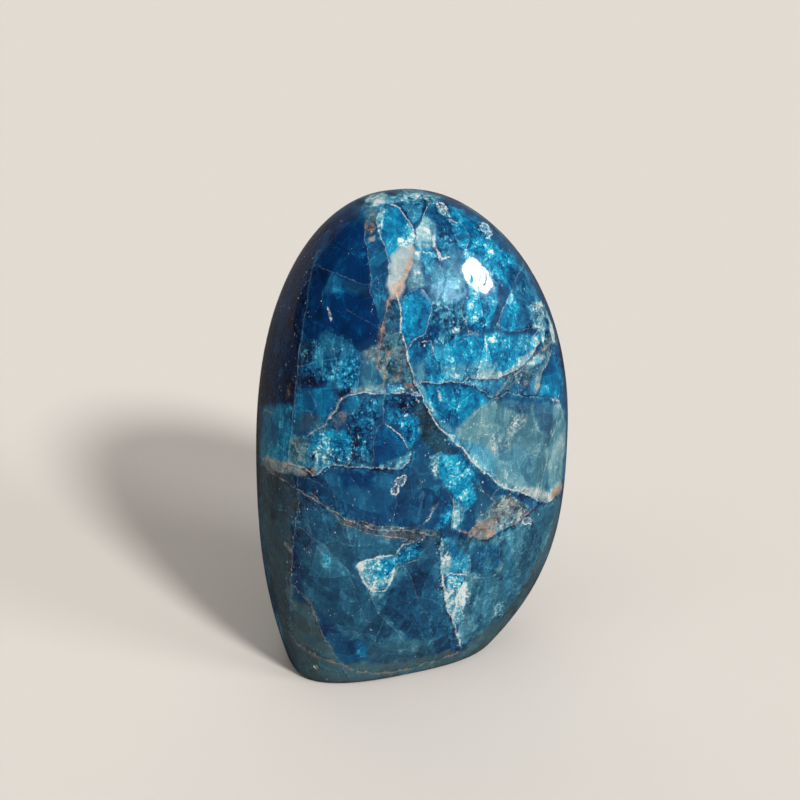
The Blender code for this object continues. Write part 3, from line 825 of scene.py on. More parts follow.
def mark_around(points, normals):
    """Marks of the rest of the stone: its blocks, and the sheets of fracture that pass through them."""
    marks = Marks(len(points))
    values = marks.values
    mark_blocks(points, marks)
    patches = wander(points, 7 * MM, seed=22)
    values["glow"] += 0.07 * wander(points, 16 * MM, seed=21) + 0.07 * patches
    values["veil"] += smooth_step(wander(points, 14 * MM, seed=23), 0.05, 0.7) * 0.25
    # The left flank is darker round its middle: painted shade
    flank_painted_shade = smooth_step(-points[:, 0], 19 * MM, 23 * MM) * smooth_step(points[:, 2], 20 * MM, 48 * MM)
    values["glow"] *= 1 - 0.7 * flank_painted_shade
    # Grey-green towards the foot all round: a painted reflection of the floor
    values["olive_and_floor_reflection"] += 0.8 * (1 - smooth_step(points[:, 2] + 2 * MM * patches, 2 * MM, 9 * MM))
    random = np.random.default_rng(SHEET_SEED)
    for number in range(SHEETS):
        slope = random.normal(size=3) * (1.0, 0.7, 0.75)
        slope /= np.linalg.norm(slope)
        middle = np.array([0.0, 0.0, HEIGHT / 2]) + random.normal(size=3) * (14 * MM, 8 * MM, 24 * MM)
        radius = random.uniform(12, 38) * MM
        strong = random.random() < 0.45
        crack = Crack(
            [], bright=random.uniform(0.6, 1.0) if strong else random.uniform(0.25, 0.6),
            dark=random.uniform(0.5, 1.0) if strong else 0.3, haze=random.uniform(0.15, 0.4),
            reach=random.uniform(1.0, 2.6), rust=max(0.0, random.uniform(-0.6, 0.6)),
            groove=random.uniform(0.5, 1.0) if strong else 0.25, width=random.uniform(0.14, 0.3))
        waves = wander(points, 9 * MM, seed=40 + number) * 1.6 * MM
        waves += wander(points, 2.2 * MM, seed=80 + number) * 0.4 * MM
        above = (points - middle) @ slope + waves
        lateral = np.linalg.norm(points - middle - np.outer(above, slope), axis=1)
        gone = smooth_step(lateral, radius * 0.8, radius)
        facing = normals @ slope
        beside = above / np.sqrt(np.clip(1 - facing**2, 0.08, 1))
        below = above / np.where(np.abs(facing) < 0.05, 0.05, facing)
        near = np.abs(beside) / MM + 6 * gone
        side = np.where(beside * facing > 0, 1, -1)
        marks.add_line("main" if strong else "fine", near, side * near, crack)
        fading = np.where(below > 0, np.exp(-np.maximum(below, 0) / MM / crack.reach), 0) * (1 - gone)
        marks.add_fracture(crack, near, fading, SHEET_RUST_HALO)
    return marks


def mark_skin(mesh):
    """Gives the skin its marks: the photo's where the photo sees it well, and the sheets' elsewhere."""
    count = len(mesh.vertices)
    points = np.zeros(count * 3)
    normals = np.zeros(count * 3)
    mesh.vertices.foreach_get("co", points)
    mesh.vertices.foreach_get("normal", normals)
    points = points.reshape(-1, 3)
    normals = normals.reshape(-1, 3)
    to_camera = np.array(CAMERA_AIM + TO_CAMERA * CAMERA_DISTANCE) - points
    to_camera /= np.linalg.norm(to_camera, axis=1)[:, None]
    seen = smooth_step(np.sum(normals * to_camera, axis=1), 0.08, 0.3)
    front = mark_front(points)
    around = mark_around(points, normals)

    def keep(name, values):
        attribute = mesh.attributes.new(name, "FLOAT", "POINT")
        attribute.data.foreach_set("value", values.astype(np.float32))

    for name in CHANNELS:
        keep(name, around.values[name] * (1 - seen) + front.values[name] * seen)
    for name in ("haze", "groove", "chip", "scuff"):
        keep(name, getattr(around, name) * (1 - seen) + getattr(front, name) * seen)
    for layer in LAYERS:
        ours = front.lines[layer]
        theirs = around.lines[layer]
        front_near = ours["near"] + FAR_OFF * (1 - seen)
        around_near = theirs["near"] + FAR_OFF * seen
        use_front = front_near < around_near
        keep(layer + "_near", np.minimum(front_near, around_near))
        for name in ("off", "bright", "dark", "width"):
            keep(f"{layer}_{name}", np.where(use_front, ours[name], theirs[name]))


# Node trees: short helpers, then each tree in its own function.
class Value:
    """What a socket of a node tree gives. Where it is a number, it reckons as numbers do."""

    def __init__(self, tree, socket):
        self.tree = tree
        self.socket = socket

    def __add__(self, other):
        return calculate("ADD", self, other)

    def __sub__(self, other):
        return calculate("SUBTRACT", self, other)

    def __mul__(self, other):
        return calculate("MULTIPLY", self, other)

    def __rtruediv__(self, other):
        return calculate("DIVIDE", other, self)

    def __gt__(self, other):
        return calculate("GREATER_THAN", self, other)

    def __abs__(self):
        return calculate("ABSOLUTE", self)

    def __pow__(self, other):
        return calculate("POWER", self, other)


def feed(target, source):
    """Links a socket to a value, or sets it to what is plain."""
    if isinstance(source, Value):
        source.tree.links.new(source.socket, target)
    else:
        target.default_value = source


def place_node(tree, kind, sources=(), **settings):
    """Places a node, feeds its inputs by name or by number, and gives its outputs by name."""
    node = tree.nodes.new(kind)
    for name, value in settings.items():
        setattr(node, name, value)
    for name, source in dict(sources).items():
        feed(node.inputs[name], source)
    return {socket.name: Value(tree, socket) for socket in node.outputs if socket.enabled}


def tree_of(sources):
    return next(source.tree for source in sources if isinstance(source, Value))


def calculate(operation, *sources, clamp=False):
    numbered = dict(enumerate(sources))
    tree = tree_of(sources)
    return place_node(tree, "ShaderNodeMath", numbered, operation=operation, use_clamp=clamp)["Value"]


def ramp_between(value, low, high, to_low=0.0, to_high=1.0):
    """Eases from to_low to to_high while the value goes from low to high."""
    numbered = dict(enumerate((value, low, high, to_low, to_high)))
    return place_node(value.tree, "ShaderNodeMapRange", numbered, interpolation_type="SMOOTHSTEP")["Result"]


def fade_between(value, near, far):
    """Eases from 1 to 0 while the value goes from near to far."""
    return ramp_between(value, near, far, 1.0, 0.0)


def scaled(value, factor, plus):
    return calculate("MULTIPLY_ADD", value, factor, plus)


def add_share(total, part, strength):
    return calculate("MULTIPLY_ADD", part, strength, total)


def mix_colour(share, first, second):
    tree = tree_of((share, first, second))
    node = tree.nodes.new("ShaderNodeMix")
    node.data_type = "RGBA"
    sockets = [socket for socket in node.inputs if socket.enabled]
    for target, source in zip(sockets, (share, first, second)):
        feed(target, source)
    return Value(tree, next(socket for socket in node.outputs if socket.enabled))


# The stone's own shade as a share of how bright it is in the photo's light.
STONE_IN_LIGHT = 0.66


def colour(red, green, blue, share=STONE_IN_LIGHT):
    """A colour as seen on a screen, from 0 to 255, in the linear values that nodes take."""
    return tuple(
        share * ((part / 255 / 12.92) if part < 10.3 else ((part / 255 + 0.055) / 1.055) ** 2.4)
        for part in (red, green, blue)
    ) + (1.0,)


def read_mark(tree, name):
    return place_node(tree, "ShaderNodeAttribute", attribute_name=name)["Fac"]


def colour_ramp(value, stops):
    node = value.tree.nodes.new("ShaderNodeValToRGB")
    ramp = node.color_ramp
    while len(ramp.elements) < len(stops):
        ramp.elements.new(0.5)
    for element, (position, shade) in zip(ramp.elements, stops):
        element.position = position
        element.color = colour(*shade)
    feed(node.inputs[0], value)
    return Value(value.tree, node.outputs["Color"])


# What the stone looks like as a reflecting fracture comes nearer the polish: clear stone, and veiled stone.
CLEAR_STONE = [
    (0.00, (4, 8, 18)), (0.12, (2, 27, 58)), (0.24, (0, 48, 100)), (0.37, (0, 82, 132)),
    (0.50, (0, 115, 164)), (0.64, (0, 152, 198)), (0.80, (38, 188, 222)), (0.92, (134, 218, 232)),
    (1.00, (238, 247, 247)),
]
VEILED_STONE = [
    (0.00, (16, 20, 26)), (0.15, (24, 44, 56)), (0.30, (36, 84, 106)), (0.45, (60, 120, 142)),
    (0.60, (96, 154, 168)), (0.80, (158, 190, 194)), (1.00, (232, 236, 232)),
]
STAIN = [
    (0.30, (60, 44, 40)), (0.46, (128, 84, 62)), (0.58, (170, 130, 100)), (0.75, (216, 184, 160)),
]
CREAM = (214, 206, 196)
# Grey-green: a tone of the stone, and near the rim and the foot the colour of a painted floor reflection
OLIVE_AND_FLOOR_REFLECTION = (84, 92, 80)
FAINT_CRACK = (118, 160, 168)
CRACK_WHITE = (236, 240, 236)
CRACK_DARK = (12, 18, 28)
STONE_POWDER = (118, 138, 140)


def result_sockets(tree):
    return tree.nodes.new("NodeGroupOutput").inputs


def crack_line_group():
    """The light and the dark edge of a crack, from how far off it is and on which side."""
    tree = bpy.data.node_groups.new("crack_line", "ShaderNodeTree")
    face = tree.interface
    for name in LINE_MARKS + ("Shake", "Light breaks", "Dark breaks"):
        face.new_socket(name, in_out="INPUT", socket_type="NodeSocketFloat")
    for name in ("Light edge", "Dark edge"):
        face.new_socket(name, in_out="OUTPUT", socket_type="NodeSocketFloat")
    given = place_node(tree, "NodeGroupInput")
    result = result_sockets(tree)
    shaken = scaled(given["Shake"], 0.5, given["Off"])
    close = fade_between(given["Near"], 0.35, 0.8)
    swell = scaled(given["Shake"], 3.0, 0.85)
    size = calculate("MAXIMUM", given["Width"] * swell, 0.03)
    light = fade_between(abs(shaken - 0.03), 0.0, size)
    shade = fade_between(abs(shaken + (size + 0.05)), 0.03, 0.2)
    for edge, strength, shape in (("Light", "Bright", light), ("Dark", "Dark", shade)):
        broken = shape * given[edge + " breaks"]
        strong = close * given[strength]
        feed(result[edge + " edge"], calculate("MULTIPLY", broken, strong, clamp=True))
    return tree


def noise_texture(where, grain, detail, rough=0.6):
    """Noise of a grain size in metres."""
    sources = {"Vector": where, "Scale": 1 / grain, "Detail": detail, "Roughness": rough}
    return place_node(where.tree, "ShaderNodeTexNoise", sources)


def cell_texture(where, grain, feature="F1"):
    sources = {"Vector": where, "Scale": 1 / grain}
    return place_node(where.tree, "ShaderNodeTexVoronoi", sources, feature=feature)


def cell_shades(cells):
    """Two chance values, from 0 to 1, for each cell."""
    parts = place_node(cells["Color"].tree, "ShaderNodeSeparateColor", {0: cells["Color"]})
    return parts["Red"], parts["Green"]


def vector_math(operation, *sources):
    numbered = dict(enumerate(sources))
    return place_node(sources[0].tree, "ShaderNodeVectorMath", numbered, operation=operation)["Vector"]


def swirled(where, grain, amount):
    """Coordinates pushed about by noise, so that what is drawn on them bends."""
    push = vector_math("SUBTRACT", noise_texture(where, grain, 3.0)["Color"], (0.5, 0.5, 0.5))
    return vector_math("MULTIPLY_ADD", push, (amount, amount, amount), where)


def drawn_out(where, turn, stretch):
    """Coordinates turned by degrees about x, y and z, on which what is drawn is longer along one axis."""
    turned = [math.radians(angle) for angle in turn]
    sources = {"Vector": where, "Rotation": turned, "Scale": (1.0, 1.0, 1 / stretch)}
    return place_node(where.tree, "ShaderNodeMapping", sources)["Vector"]


def ridges(value, width):
    """Thin lines where noise passes its middle."""
    return fade_between(abs(value - 0.5), 0.0, width)


def cell_borders(where, grain, width):
    """Thin lines where the cells of this size meet. The width is a share of the cell's size."""
    return fade_between(cell_texture(where, grain, "DISTANCE_TO_EDGE")["Distance"], 0.0, width)


# Sizes of the noise, the cells and the lines that break up the stone's shades
CLOUD_SIZE = 6 * MM
PATCH_SIZE = 2.4 * MM
FINE_SIZE = 0.9 * MM
DUST_SIZE = 0.34 * MM
STREWN_SIZE = 3.2 * MM
GRAIN_SIZE = 0.36 * MM
SPLINTER_SIZE = 0.8 * MM
BLOCK_SIZE = 6.5 * MM
SHARD_SIZE = 2.3 * MM
SMALL_FACET_SIZE = 0.95 * MM
CLEAVAGE_SPACING = 4.5 * MM
SLANT_SPACING = 5 * MM
VEIL_SPACING = 4.2 * MM
STREAK_SIZE = 1.6 * MM
SPECK_SIZE = 0.42 * MM
SCRATCH_SIZE = 0.5 * MM


class Ground(NamedTuple):
    """What the parts of the stone's node tree share: the place, the marks there, and noise of several sizes.

    liveliness is how strongly facets show, and crushed is how much of the stone there is crushed grain.
    """

    where: Value
    marks: dict
    cloud: Value
    patchy: Value
    fine: Value
    dust: Value
    strewn: Value
    to_crack: Value
    crushed: Value
    liveliness: Value
    glow: Value


def read_ground(tree, crushing):
    where = place_node(tree, "ShaderNodeTexCoord")["Object"]
    marks = {name: read_mark(tree, name) for name in CHANNELS + ("haze", "chip", "scuff")}
    cloud = noise_texture(where, CLOUD_SIZE, 4.0)["Fac"]
    patchy = noise_texture(swirled(where, 3 * MM, 2 * MM), PATCH_SIZE, 6.0, 0.66)["Fac"]
    fine = noise_texture(where, FINE_SIZE, 6.0, 0.72)["Fac"]
    dust = noise_texture(where, DUST_SIZE, 3.0, 0.7)["Fac"]
    strewn = noise_texture(where, STREWN_SIZE, 6.0, 0.75)["Fac"]
    to_crack = read_mark(tree, "main_near")
    beside_crack = ramp_between(to_crack, 0.1, 1.7, 0.6, 0.0)
    crushed = calculate("MAXIMUM", marks["grain"], beside_crack) * crushing
    glow = marks["glow"] + marks["haze"]
    liveliness = ramp_between(glow, 0.1, 0.75, 0.1, 0.75) * scaled(crushed, 0.45, 0.45)
    return Ground(where, marks, cloud, patchy, fine, dust, strewn, to_crack, crushed, liveliness, glow)


def clouded(ground):
    """The marks' glow, clouded at several sizes."""
    mottle = add_share((ground.patchy - 0.5) + (ground.fine - 0.5), ground.dust - 0.5, 0.8)
    return add_share(add_share(ground.glow, ground.cloud - 0.5, 0.2), mottle, ground.liveliness)


def caught_light(where, grain):
    """Facets of which a few catch the light, and most are a little darker than the stone."""
    facet, _ = cell_shades(cell_texture(where, grain))
    return facet**3.0 - 0.25


def crush(ground, glow):
    """Crushed grain: small bright facets with dark gaps. Also gives how high each grain stands."""
    facet, other_facet = cell_shades(cell_texture(swirled(ground.where, 0.8 * MM, 0.3 * MM), GRAIN_SIZE))
    lit_facet = facet**4.0
    splinter_space = drawn_out(swirled(ground.where, 1.2 * MM, 0.5 * MM), (35, 25, 0), 2.2)
    grainy = scaled(ground.fine, 1.4, lit_facet) - 0.95
    grainy = add_share(grainy, caught_light(splinter_space, SPLINTER_SIZE), 0.7)
    crushed_here = ground.crushed * ramp_between(ground.strewn, 0.42, 0.6, 0.4, 1.0)
    return add_share(glow, crushed_here * grainy, 0.55), (lit_facet + other_facet) * ground.crushed


def craze(ground, glow, crazing):
    """Blocks and shards a little lighter or darker, the hairlines between them, veils and pale streaks."""
    where, cloud, patchy = ground.where, ground.cloud, ground.patchy
    block_space = swirled(where, 5 * MM, 1.6 * MM)
    block, _ = cell_shades(cell_texture(block_space, BLOCK_SIZE))
    glow = add_share(glow, block - 0.5, 0.12)
    shard_space = swirled(drawn_out(where, (25, 15, 0), 1.8), 1.6 * MM, 0.5 * MM)
    shard, shard_chance = cell_shades(cell_texture(shard_space, SHARD_SIZE))
    glow = add_share(glow, shard - 0.5, ground.liveliness * ramp_between(cloud, 0.36, 0.6, 0.4, 0.9))
    small_space = drawn_out(swirled(where, 0.9 * MM, 0.25 * MM), (-30, 40, 0), 1.6)
    caught = caught_light(small_space, SMALL_FACET_SIZE) * ramp_between(patchy, 0.42, 0.6, 0.1, 0.75)
    glow = add_share(glow, caught, ground.liveliness)

    line_space = swirled(where, 4 * MM, 1.2 * MM)
    hairline = cell_borders(block_space, BLOCK_SIZE, 0.016)
    cleavage = cell_borders(drawn_out(line_space, (12, 8, 0), 6.0), CLEAVAGE_SPACING, 0.02)
    slanting = cell_borders(drawn_out(line_space, (0, 58, 20), 7.0), SLANT_SPACING, 0.018)
    veil_line = ridges(noise_texture(block_space, VEIL_SPACING, 3.0, 0.5)["Fac"], 0.022)
    shard_line = cell_borders(shard_space, SHARD_SIZE, 0.03) * (shard_chance > 0.6)
    crazed = hairline * ramp_between(cloud, 0.45, 0.6, 0.1, 1.0)
    crazed = add_share(crazed, cleavage, ramp_between(cloud, 0.4, 0.55, 1.0, 0.1))
    crazed = add_share(crazed, slanting, ramp_between(patchy, 0.48, 0.62, 0.0, 0.9))
    crazed = add_share(crazed, veil_line, ramp_between(patchy, 0.42, 0.6, 0.0, 0.8))
    crazed = add_share(crazed, shard_line, ramp_between(patchy, 0.4, 0.6, 0.0, 0.9))
    crazed = crazed * ramp_between(ground.dust, 0.35, 0.6, 0.35, 1.1) * crazing
    glow = add_share(glow, crazed, scaled(ground.marks["glow"], 0.36, 0.03))

    streaks = noise_texture(drawn_out(where, (6, 4, 0), 9.0), STREAK_SIZE, 4.0, 0.6)["Fac"]
    glow = add_share(glow, ramp_between(streaks, 0.54, 0.75), ramp_between(cloud, 0.48, 0.7, 0.0, 0.25))
    return calculate("ADD", glow, 0.0, clamp=True)


def stained(ground, glow):
    """Clear or veiled stone, then what tints, clouds and stains it. The grey-green tint is partly a painted
    reflection of the floor. Also gives the stain's own colour.
    """
    marks, patchy = ground.marks, ground.patchy
    shade = mix_colour(marks["veil"], colour_ramp(glow, CLEAR_STONE), colour_ramp(glow, VEILED_STONE))
    # Grey-green tint: a tone of the stone, and round the rim and the foot a painted floor reflection
    shade = mix_colour(marks["olive_and_floor_reflection"] * ramp_between(patchy, 0.3, 0.65, 0.3, 0.9), shade, colour(*OLIVE_AND_FLOOR_REFLECTION))
    shade = mix_colour(marks["milk"] * ramp_between(patchy, 0.3, 0.6, 0.5, 1.1), shade, colour(*CREAM))
    stain_place = add_share(scaled(patchy - 0.5, 0.8, ground.fine), marks["rust"], 0.42)
    stain_share = ramp_between(stain_place, 0.6, 0.8)
    stain_share = calculate("MULTIPLY", stain_share, marks["rust"] * 1.5, clamp=True)
    stain = colour_ramp(add_share(ground.fine, marks["milk"], 0.3), STAIN)
    return mix_colour(stain_share, shade, stain), stain


def cracked(tree, ground, shade, stain):
    """Draws the cracks, which break up into glints and gaps along their way. Also gives where they gape."""
    shared = {
        "Shake": noise_texture(ground.where, 0.9 * MM, 4.0, 0.7)["Fac"] - 0.5,
        "Light breaks": (ramp_between(ground.patchy, 0.36, 0.6, 0.25, 1.15)
                         * ramp_between(ground.dust, 0.38, 0.6, 0.2, 1.3)),
        "Dark breaks": ramp_between(ground.cloud, 0.38, 0.56, 1.1, 0.25),
    }
    line_group = crack_line_group()
    gaping = []
    for layer in reversed(LAYERS):
        own = {name: read_mark(tree, f"{layer}_{name.lower()}") for name in LINE_MARKS}
        line = place_node(tree, "ShaderNodeGroup", own | shared, node_tree=line_group)
        shade = mix_colour(line["Dark edge"] * 0.85, shade, colour(*CRACK_DARK))
        edge = mix_colour(own["Bright"] ** 1.5, colour(*FAINT_CRACK), colour(*CRACK_WHITE))
        edge = mix_colour(ground.marks["rust"], edge, stain)
        shade = mix_colour(line["Light edge"], shade, edge)
        gaping.append(line["Dark edge"])
    return shade, calculate("MAXIMUM", *gaping)


def glinting(ground, shade, amount):
    """Sparse tiny white specks of uneven shape, more of them among crushed grain: painted glints, and white
    flecks of the stone. Also gives where they are.
    """
    specks = cell_texture(drawn_out(swirled(ground.where, 0.3 * MM, 0.3 * MM), (30, 20, 0), 1.7), SPECK_SIZE)
    _, chance = cell_shades(specks)
    rare = scaled(ground.crushed, -0.1, 0.984) - ramp_between(ground.strewn, 0.5, 0.62, 0.0, 0.2)
    over = chance - (rare - ramp_between(ground.to_crack, 0.2, 2.4, 0.05, 0.0))
    size = scaled(over, 1.4, 0.19)
    glint = fade_between(specks["Distance"], size * 0.4, size) * (over > 0.0)
    glint = glint * ramp_between(ground.fine, 0.42, 0.6, 0.35, 1.1) * amount
    return mix_colour(glint * 0.8, shade, colour(*CRACK_WHITE)), glint


def chipped(ground, shade):
    """Draws the white ring of splinters round each chip."""
    chip = ground.marks["chip"]
    ring = ramp_between(chip, 0.05, 0.35) * ramp_between(chip, 0.5, 0.95, 1.0, 0.15)
    return mix_colour(ring * ramp_between(ground.dust, 0.44, 0.54), shade, colour(*CRACK_WHITE))


def worn_polish(ground, gaping):
    """Where the polish is gone: in chips, in open cracks and along the scratches of the scuffs."""
    scratched = noise_texture(drawn_out(ground.where, (15, -20, 0), 2.8), SCRATCH_SIZE, 4.0, 0.7)["Fac"]
    scuffed = ramp_between(add_share(scratched, ground.marks["scuff"], 0.22), 0.64, 0.69)
    return calculate("MAXIMUM", calculate("MAXIMUM", ground.marks["chip"], gaping), scuffed)


def stone_body_group():
    """The colour and inner relief of the stone, and where its polish is worn, from its marks."""
    tree = bpy.data.node_groups.new("apatite_body", "ShaderNodeTree")
    face = tree.interface
    for name in ("Crushing", "Crazing", "Glints"):
        face.new_socket(name, in_out="INPUT", socket_type="NodeSocketFloat").default_value = 1.0
    face.new_socket("Colour", in_out="OUTPUT", socket_type="NodeSocketColor")
    for name in ("Relief", "Worn"):
        face.new_socket(name, in_out="OUTPUT", socket_type="NodeSocketFloat")
    given = place_node(tree, "NodeGroupInput")
    result = result_sockets(tree)
    ground = read_ground(tree, given["Crushing"])
    glow, standing = crush(ground, clouded(ground))
    shade, stain = stained(ground, craze(ground, glow, given["Crazing"]))
    shade, gaping = cracked(tree, ground, shade, stain)
    shade, glint = glinting(ground, shade, given["Glints"])
    feed(result["Colour"], chipped(ground, shade))
    feed(result["Relief"], standing + (ground.fine + glint * 0.6))
    feed(result["Worn"], worn_polish(ground, gaping))
    return tree


def new_material(name, **settings):
    """A material, its tree and the sockets of its shader, with these set: Coat_IOR is the socket Coat IOR."""
    material = bpy.data.materials.new(name)
    material.use_nodes = True
    tree = material.node_tree
    surface = tree.nodes["Principled BSDF"].inputs
    for socket, value in settings.items():
        surface[socket.replace("_", " ")].default_value = value
    return material, tree, surface


def bumped(height, strength, distance):
    sources = {"Height": height, "Strength": strength, "Distance": distance}
    return place_node(height.tree, "ShaderNodeBump", sources)["Normal"]


def polished_stone(group):
    """The ground and polished skin: a clear gloss over the stone's inner colours."""
    material, tree, surface = new_material(
        "polished_apatite", Roughness=0.3, IOR=1.45, Specular_IOR_Level=0.15, Coat_IOR=1.6,
        Coat_Roughness=0.05)
    body = place_node(tree, "ShaderNodeGroup", node_tree=group)
    feed(surface["Base Color"], body["Colour"])
    feed(surface["Normal"], bumped(body["Relief"], 0.55, 0.25 * MM))
    feed(surface["Coat Weight"], calculate("SUBTRACT", 1.0, body["Worn"], clamp=True))
    return material


def sawn_stone(group):
    """The underside of the foot, sawn and ground but never polished."""
    material, tree, surface = new_material("sawn_apatite", Roughness=0.62)
    amounts = {"Crushing": 0.4, "Crazing": 1.4, "Glints": 0.4}
    body = place_node(tree, "ShaderNodeGroup", amounts, node_tree=group)
    feed(surface["Base Color"], mix_colour(0.35, body["Colour"], colour(*STONE_POWDER)))
    where = place_node(tree, "ShaderNodeTexCoord")["Object"]
    sources = {"Vector": where, "Scale": 320.0, "Distortion": 3.0}
    saw = place_node(tree, "ShaderNodeTexWave", sources, wave_type="BANDS", bands_direction="X")
    feed(surface["Normal"], bumped(saw["Fac"], 0.25, 0.05 * MM))
    return material


def polish_relief_tree():
    """Geometry nodes that open the cracks, sink the chips, strew pits and wave the polish, all inwards."""
    tree = bpy.data.node_groups.new("polish_relief", "GeometryNodeTree")
    face = tree.interface
    face.new_socket("Skin", in_out="INPUT", socket_type="NodeSocketGeometry")
    for name in ("Crack depth", "Chip depth", "Pit depth", "Pit spacing", "Wave height", "Wave length",
                 "Ripple height", "Ripple length", "Seed"):
        face.new_socket(name, in_out="INPUT", socket_type="NodeSocketFloat")
    for name in ("Polished", "Sawn"):
        face.new_socket(name, in_out="INPUT", socket_type="NodeSocketMaterial")
    face.new_socket("Skin", in_out="OUTPUT", socket_type="NodeSocketGeometry")
    given = place_node(tree, "NodeGroupInput")
    where = place_node(tree, "GeometryNodeInputPosition")["Position"]
    normal = place_node(tree, "GeometryNodeInputNormal")["Normal"]

    def mark(name):
        kind = "GeometryNodeInputNamedAttribute"
        return place_node(tree, kind, {"Name": name}, data_type="FLOAT")["Attribute"]

    def sized_noise(length, detail):
        sources = {"Vector": where, "W": given["Seed"], "Scale": 1.0 / length, "Detail": detail}
        return place_node(tree, "ShaderNodeTexNoise", sources, noise_dimensions="4D")["Fac"]

    ripples = sized_noise(given["Ripple length"], 2.0) * given["Ripple height"]
    rough = ramp_between(sized_noise(0.6 * MM, 3.0), 0.35, 0.65, 0.3, 1.0)
    spacing = {"Vector": where, "W": given["Seed"], "Scale": 1.0 / given["Pit spacing"]}
    cells = place_node(tree, "ShaderNodeTexVoronoi", spacing, voronoi_dimensions="4D")
    sunk = sized_noise(given["Wave length"], 1.0) * given["Wave height"]
    sunk = sunk + ripples * (mark("scuff") + 0.12)
    sunk = sunk + mark("groove") * given["Crack depth"]
    sunk = sunk + mark("chip") * rough * given["Chip depth"]
    sunk = sunk + fade_between(cells["Distance"], 0.05, 0.2) * given["Pit depth"]
    height = place_node(tree, "ShaderNodeSeparateXYZ", {0: where})["Z"]
    above_foot = ramp_between(height, 0.1 * MM, FOOT_ROUNDING)
    offset = {0: normal, "Scale": sunk * (above_foot * -1.0)}
    inwards = place_node(tree, "ShaderNodeVectorMath", offset, operation="SCALE")["Vector"]
    moved = place_node(tree, "GeometryNodeSetPosition", {"Geometry": given["Skin"], "Offset": inwards})
    realized = place_node(tree, "GeometryNodeRealizeInstances", {0: moved["Geometry"]})
    polished = place_node(tree, "GeometryNodeSetMaterial",
                          {"Geometry": realized["Geometry"], "Material": given["Polished"]})
    facing = place_node(tree, "ShaderNodeSeparateXYZ", {0: normal})["Z"]
    sole = {"Geometry": polished["Geometry"], "Material": given["Sawn"],
            "Selection": calculate("LESS_THAN", facing, SOLE_FACING)}
    sawn = place_node(tree, "GeometryNodeSetMaterial", sole)
    feed(result_sockets(tree)[0], sawn["Geometry"])
    return tree


# A face of the foot's underside faces down at least this much.
SOLE_FACING = -0.985
RELIEF = {
    "Crack depth": 0.06 * MM, "Chip depth": 0.30 * MM, "Pit depth": 0.03 * MM, "Pit spacing": 4.5 * MM,
    "Wave height": 0.07 * MM, "Wave length": 13 * MM, "Ripple height": 0.035 * MM, "Ripple length": 1.3 * MM,
    "Seed": 4.0,
}


def make_stone():
    """The finished stone: the marked skin, its relief made real, as one plain mesh."""
    body = stone_body_group()
    mesh = stone_mesh()
    mark_skin(mesh)
    rough = bpy.data.objects.new("apatite_rough", mesh)
    bpy.context.scene.collection.objects.link(rough)
    modifier = rough.modifiers.new("polish_relief", "NODES")
    modifier.node_group = polish_relief_tree()
    wanted = dict(RELIEF, Polished=polished_stone(body), Sawn=sawn_stone(body))
    for socket in modifier.node_group.interface.items_tree:
        if socket.in_out == "INPUT" and socket.name in wanted:
            modifier[socket.identifier] = wanted[socket.name]
    bpy.context.view_layer.update()
    evaluated = rough.evaluated_get(bpy.context.evaluated_depsgraph_get())
    finished = bpy.data.meshes.new_from_object(evaluated)
    finished.name = "polished_apatite_stone"
    bpy.data.objects.remove(rough)
    stone = bpy.data.objects.new("polished_apatite_stone", finished)
    bpy.context.scene.collection.objects.link(stone)
    return stone


# The stage: a plain pale floor that curves up behind the stone, and soft light.
FLOOR_HALF_WIDTH = 4.0
FLOOR_FRONT = -4.0
SWEEP_START = 1.6
SWEEP_RADIUS = 1.0
WALL_TOP = 3.5
FLOOR_SHADE = (199, 195, 190)
FLOOR_IN_POLISH = 0.085
FAR_FLOOR_IN_POLISH = 0.15
ROOM_SEEN = 1.3
ROOM_LIGHT = 0.1
ROOM_IN_POLISH = 0.02


def floor_material():
    """A pale matt floor. The polish mirrors it darker, and darkest in front, as the photo's room is."""
    material, tree, surface = new_material("pale_floor", Roughness=0.95, Specular_IOR_Level=0.1)
    mirrored = place_node(tree, "ShaderNodeLightPath")["Is Glossy Ray"]
    where = place_node(tree, "ShaderNodeTexCoord")["Object"]
    far = ramp_between(place_node(tree, "ShaderNodeSeparateXYZ", {0: where})["Y"], 0.1, 0.5)
    in_polish = mix_colour(far, colour(*FLOOR_SHADE, share=FLOOR_IN_POLISH),
                           colour(*FLOOR_SHADE, share=FAR_FLOOR_IN_POLISH))
    feed(surface["Base Color"], mix_colour(mirrored, colour(*FLOOR_SHADE, share=1.0), in_polish))
    return material


def make_floor():
    bends = [
        (SWEEP_START + SWEEP_RADIUS * math.sin(turn), SWEEP_RADIUS * (1 - math.cos(turn)))
        for turn in np.linspace(0, math.pi / 2, 33)
    ]
    profile = [(FLOOR_FRONT, 0.0)] + bends + [(SWEEP_START + SWEEP_RADIUS, WALL_TOP)]
    points = [(side * FLOOR_HALF_WIDTH, y, z) for y, z in profile for side in (-1, 1)]
    faces = [(2 * step, 2 * step + 1, 2 * step + 3, 2 * step + 2) for step in range(len(profile) - 1)]
    mesh = bpy.data.meshes.new("floor")
    mesh.from_pydata(points, [], faces)
    mesh.shade_smooth()
    mesh.materials.append(floor_material())
    floor = bpy.data.objects.new("floor", mesh)
    floor.rotation_euler.z = CAMERA_AZIMUTH
    bpy.context.scene.collection.objects.link(floor)


WHITE = (1.0, 1.0, 1.0)
SKY_BLUE = (0.5, 0.76, 1.0)


class Lamp(NamedTuple):
    """A far lamp, with its angles in degrees. The spread is how wide it looks from the stone.

    A mirrored lamp only shows in the polish and lights nothing. The others light the stone and don't show.
    """

    name: str
    azimuth: float
    elevation: float
    spread: float
    strength: float
    tint: tuple = WHITE
    mirrored: bool = False


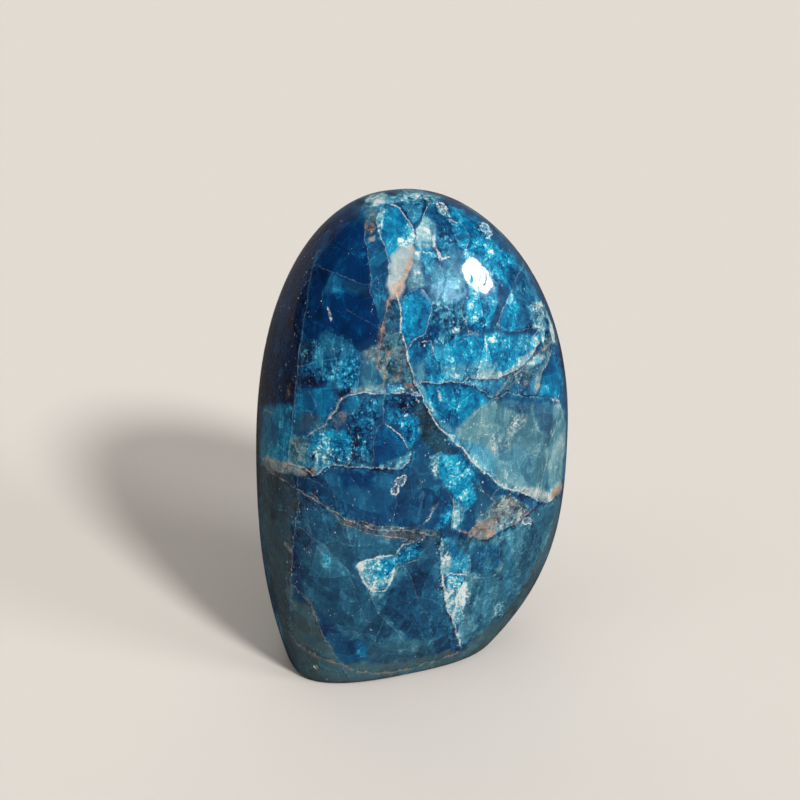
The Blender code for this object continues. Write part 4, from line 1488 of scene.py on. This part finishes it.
LAMPS = [
    Lamp("key", 15, 37, 9.0, 3.3, tint=(1.0, 0.98, 0.95)),
    Lamp("side", 43, 25, 18.0, 1.2),
    Lamp("fill_above", -30, 75, 60.0, 0.9, tint=(1.0, 0.96, 0.91)),
    Lamp("fill_left", -80, 30, 50.0, 0.3, tint=(0.92, 0.96, 1.0)),
    Lamp("fill_behind", 170, 40, 50.0, 0.8),
    Lamp("highlight", 44.5, 22.5, 16.5, 1.3, mirrored=True),
    Lamp("highlight_edge", 44.5, 22.5, 19.0, 0.16, mirrored=True),
    Lamp("highlight_halo", 44.5, 22.5, 24.0, 0.09, mirrored=True),
    Lamp("blue_spot", 27, 19, 7.0, 0.03, tint=SKY_BLUE, mirrored=True),
    Lamp("blue_halo", 27, 19, 10.0, 0.075, tint=SKY_BLUE, mirrored=True),
    Lamp("gloss_behind", 160, 38, 10.0, 0.1, mirrored=True),
]


def make_lamp(lamp):
    data = bpy.data.lights.new(lamp.name, "SUN")
    data.angle = math.radians(lamp.spread)
    data.energy = lamp.strength
    data.color = lamp.tint
    placed = bpy.data.objects.new(lamp.name, data)
    towards = direction_to(math.radians(lamp.azimuth), math.radians(lamp.elevation))
    placed.location = Vector((0, 0, HEIGHT / 2)) + towards
    placed.rotation_mode = "QUATERNION"
    placed.rotation_quaternion = towards.to_track_quat("Z", "Y")
    placed.visible_glossy = lamp.mirrored
    placed.visible_diffuse = not lamp.mirrored
    bpy.context.scene.collection.objects.link(placed)


def make_room():
    """Plain light from all round: brighter to the camera than to the stone, and darkest in the polish."""
    world = bpy.data.worlds.new("room")
    world.use_nodes = True
    tree = world.node_tree
    background = tree.nodes["Background"]
    background.inputs["Color"].default_value = colour(*FLOOR_SHADE, share=1.0)
    ray = place_node(tree, "ShaderNodeLightPath")
    room = ramp_between(ray["Is Glossy Ray"], 0.0, 1.0, ROOM_LIGHT, ROOM_IN_POLISH)
    room = ramp_between(ray["Is Camera Ray"], 0.0, 1.0, room, ROOM_SEEN)
    feed(background.inputs["Strength"], room)
    bpy.context.scene.world = world
    bpy.context.scene.view_settings.view_transform = "Standard"


make_camera()
for lamp in LAMPS:
    make_lamp(lamp)
make_room()
make_floor()
stone = make_stone()
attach(stone, "root")
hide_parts("apatite_stone")
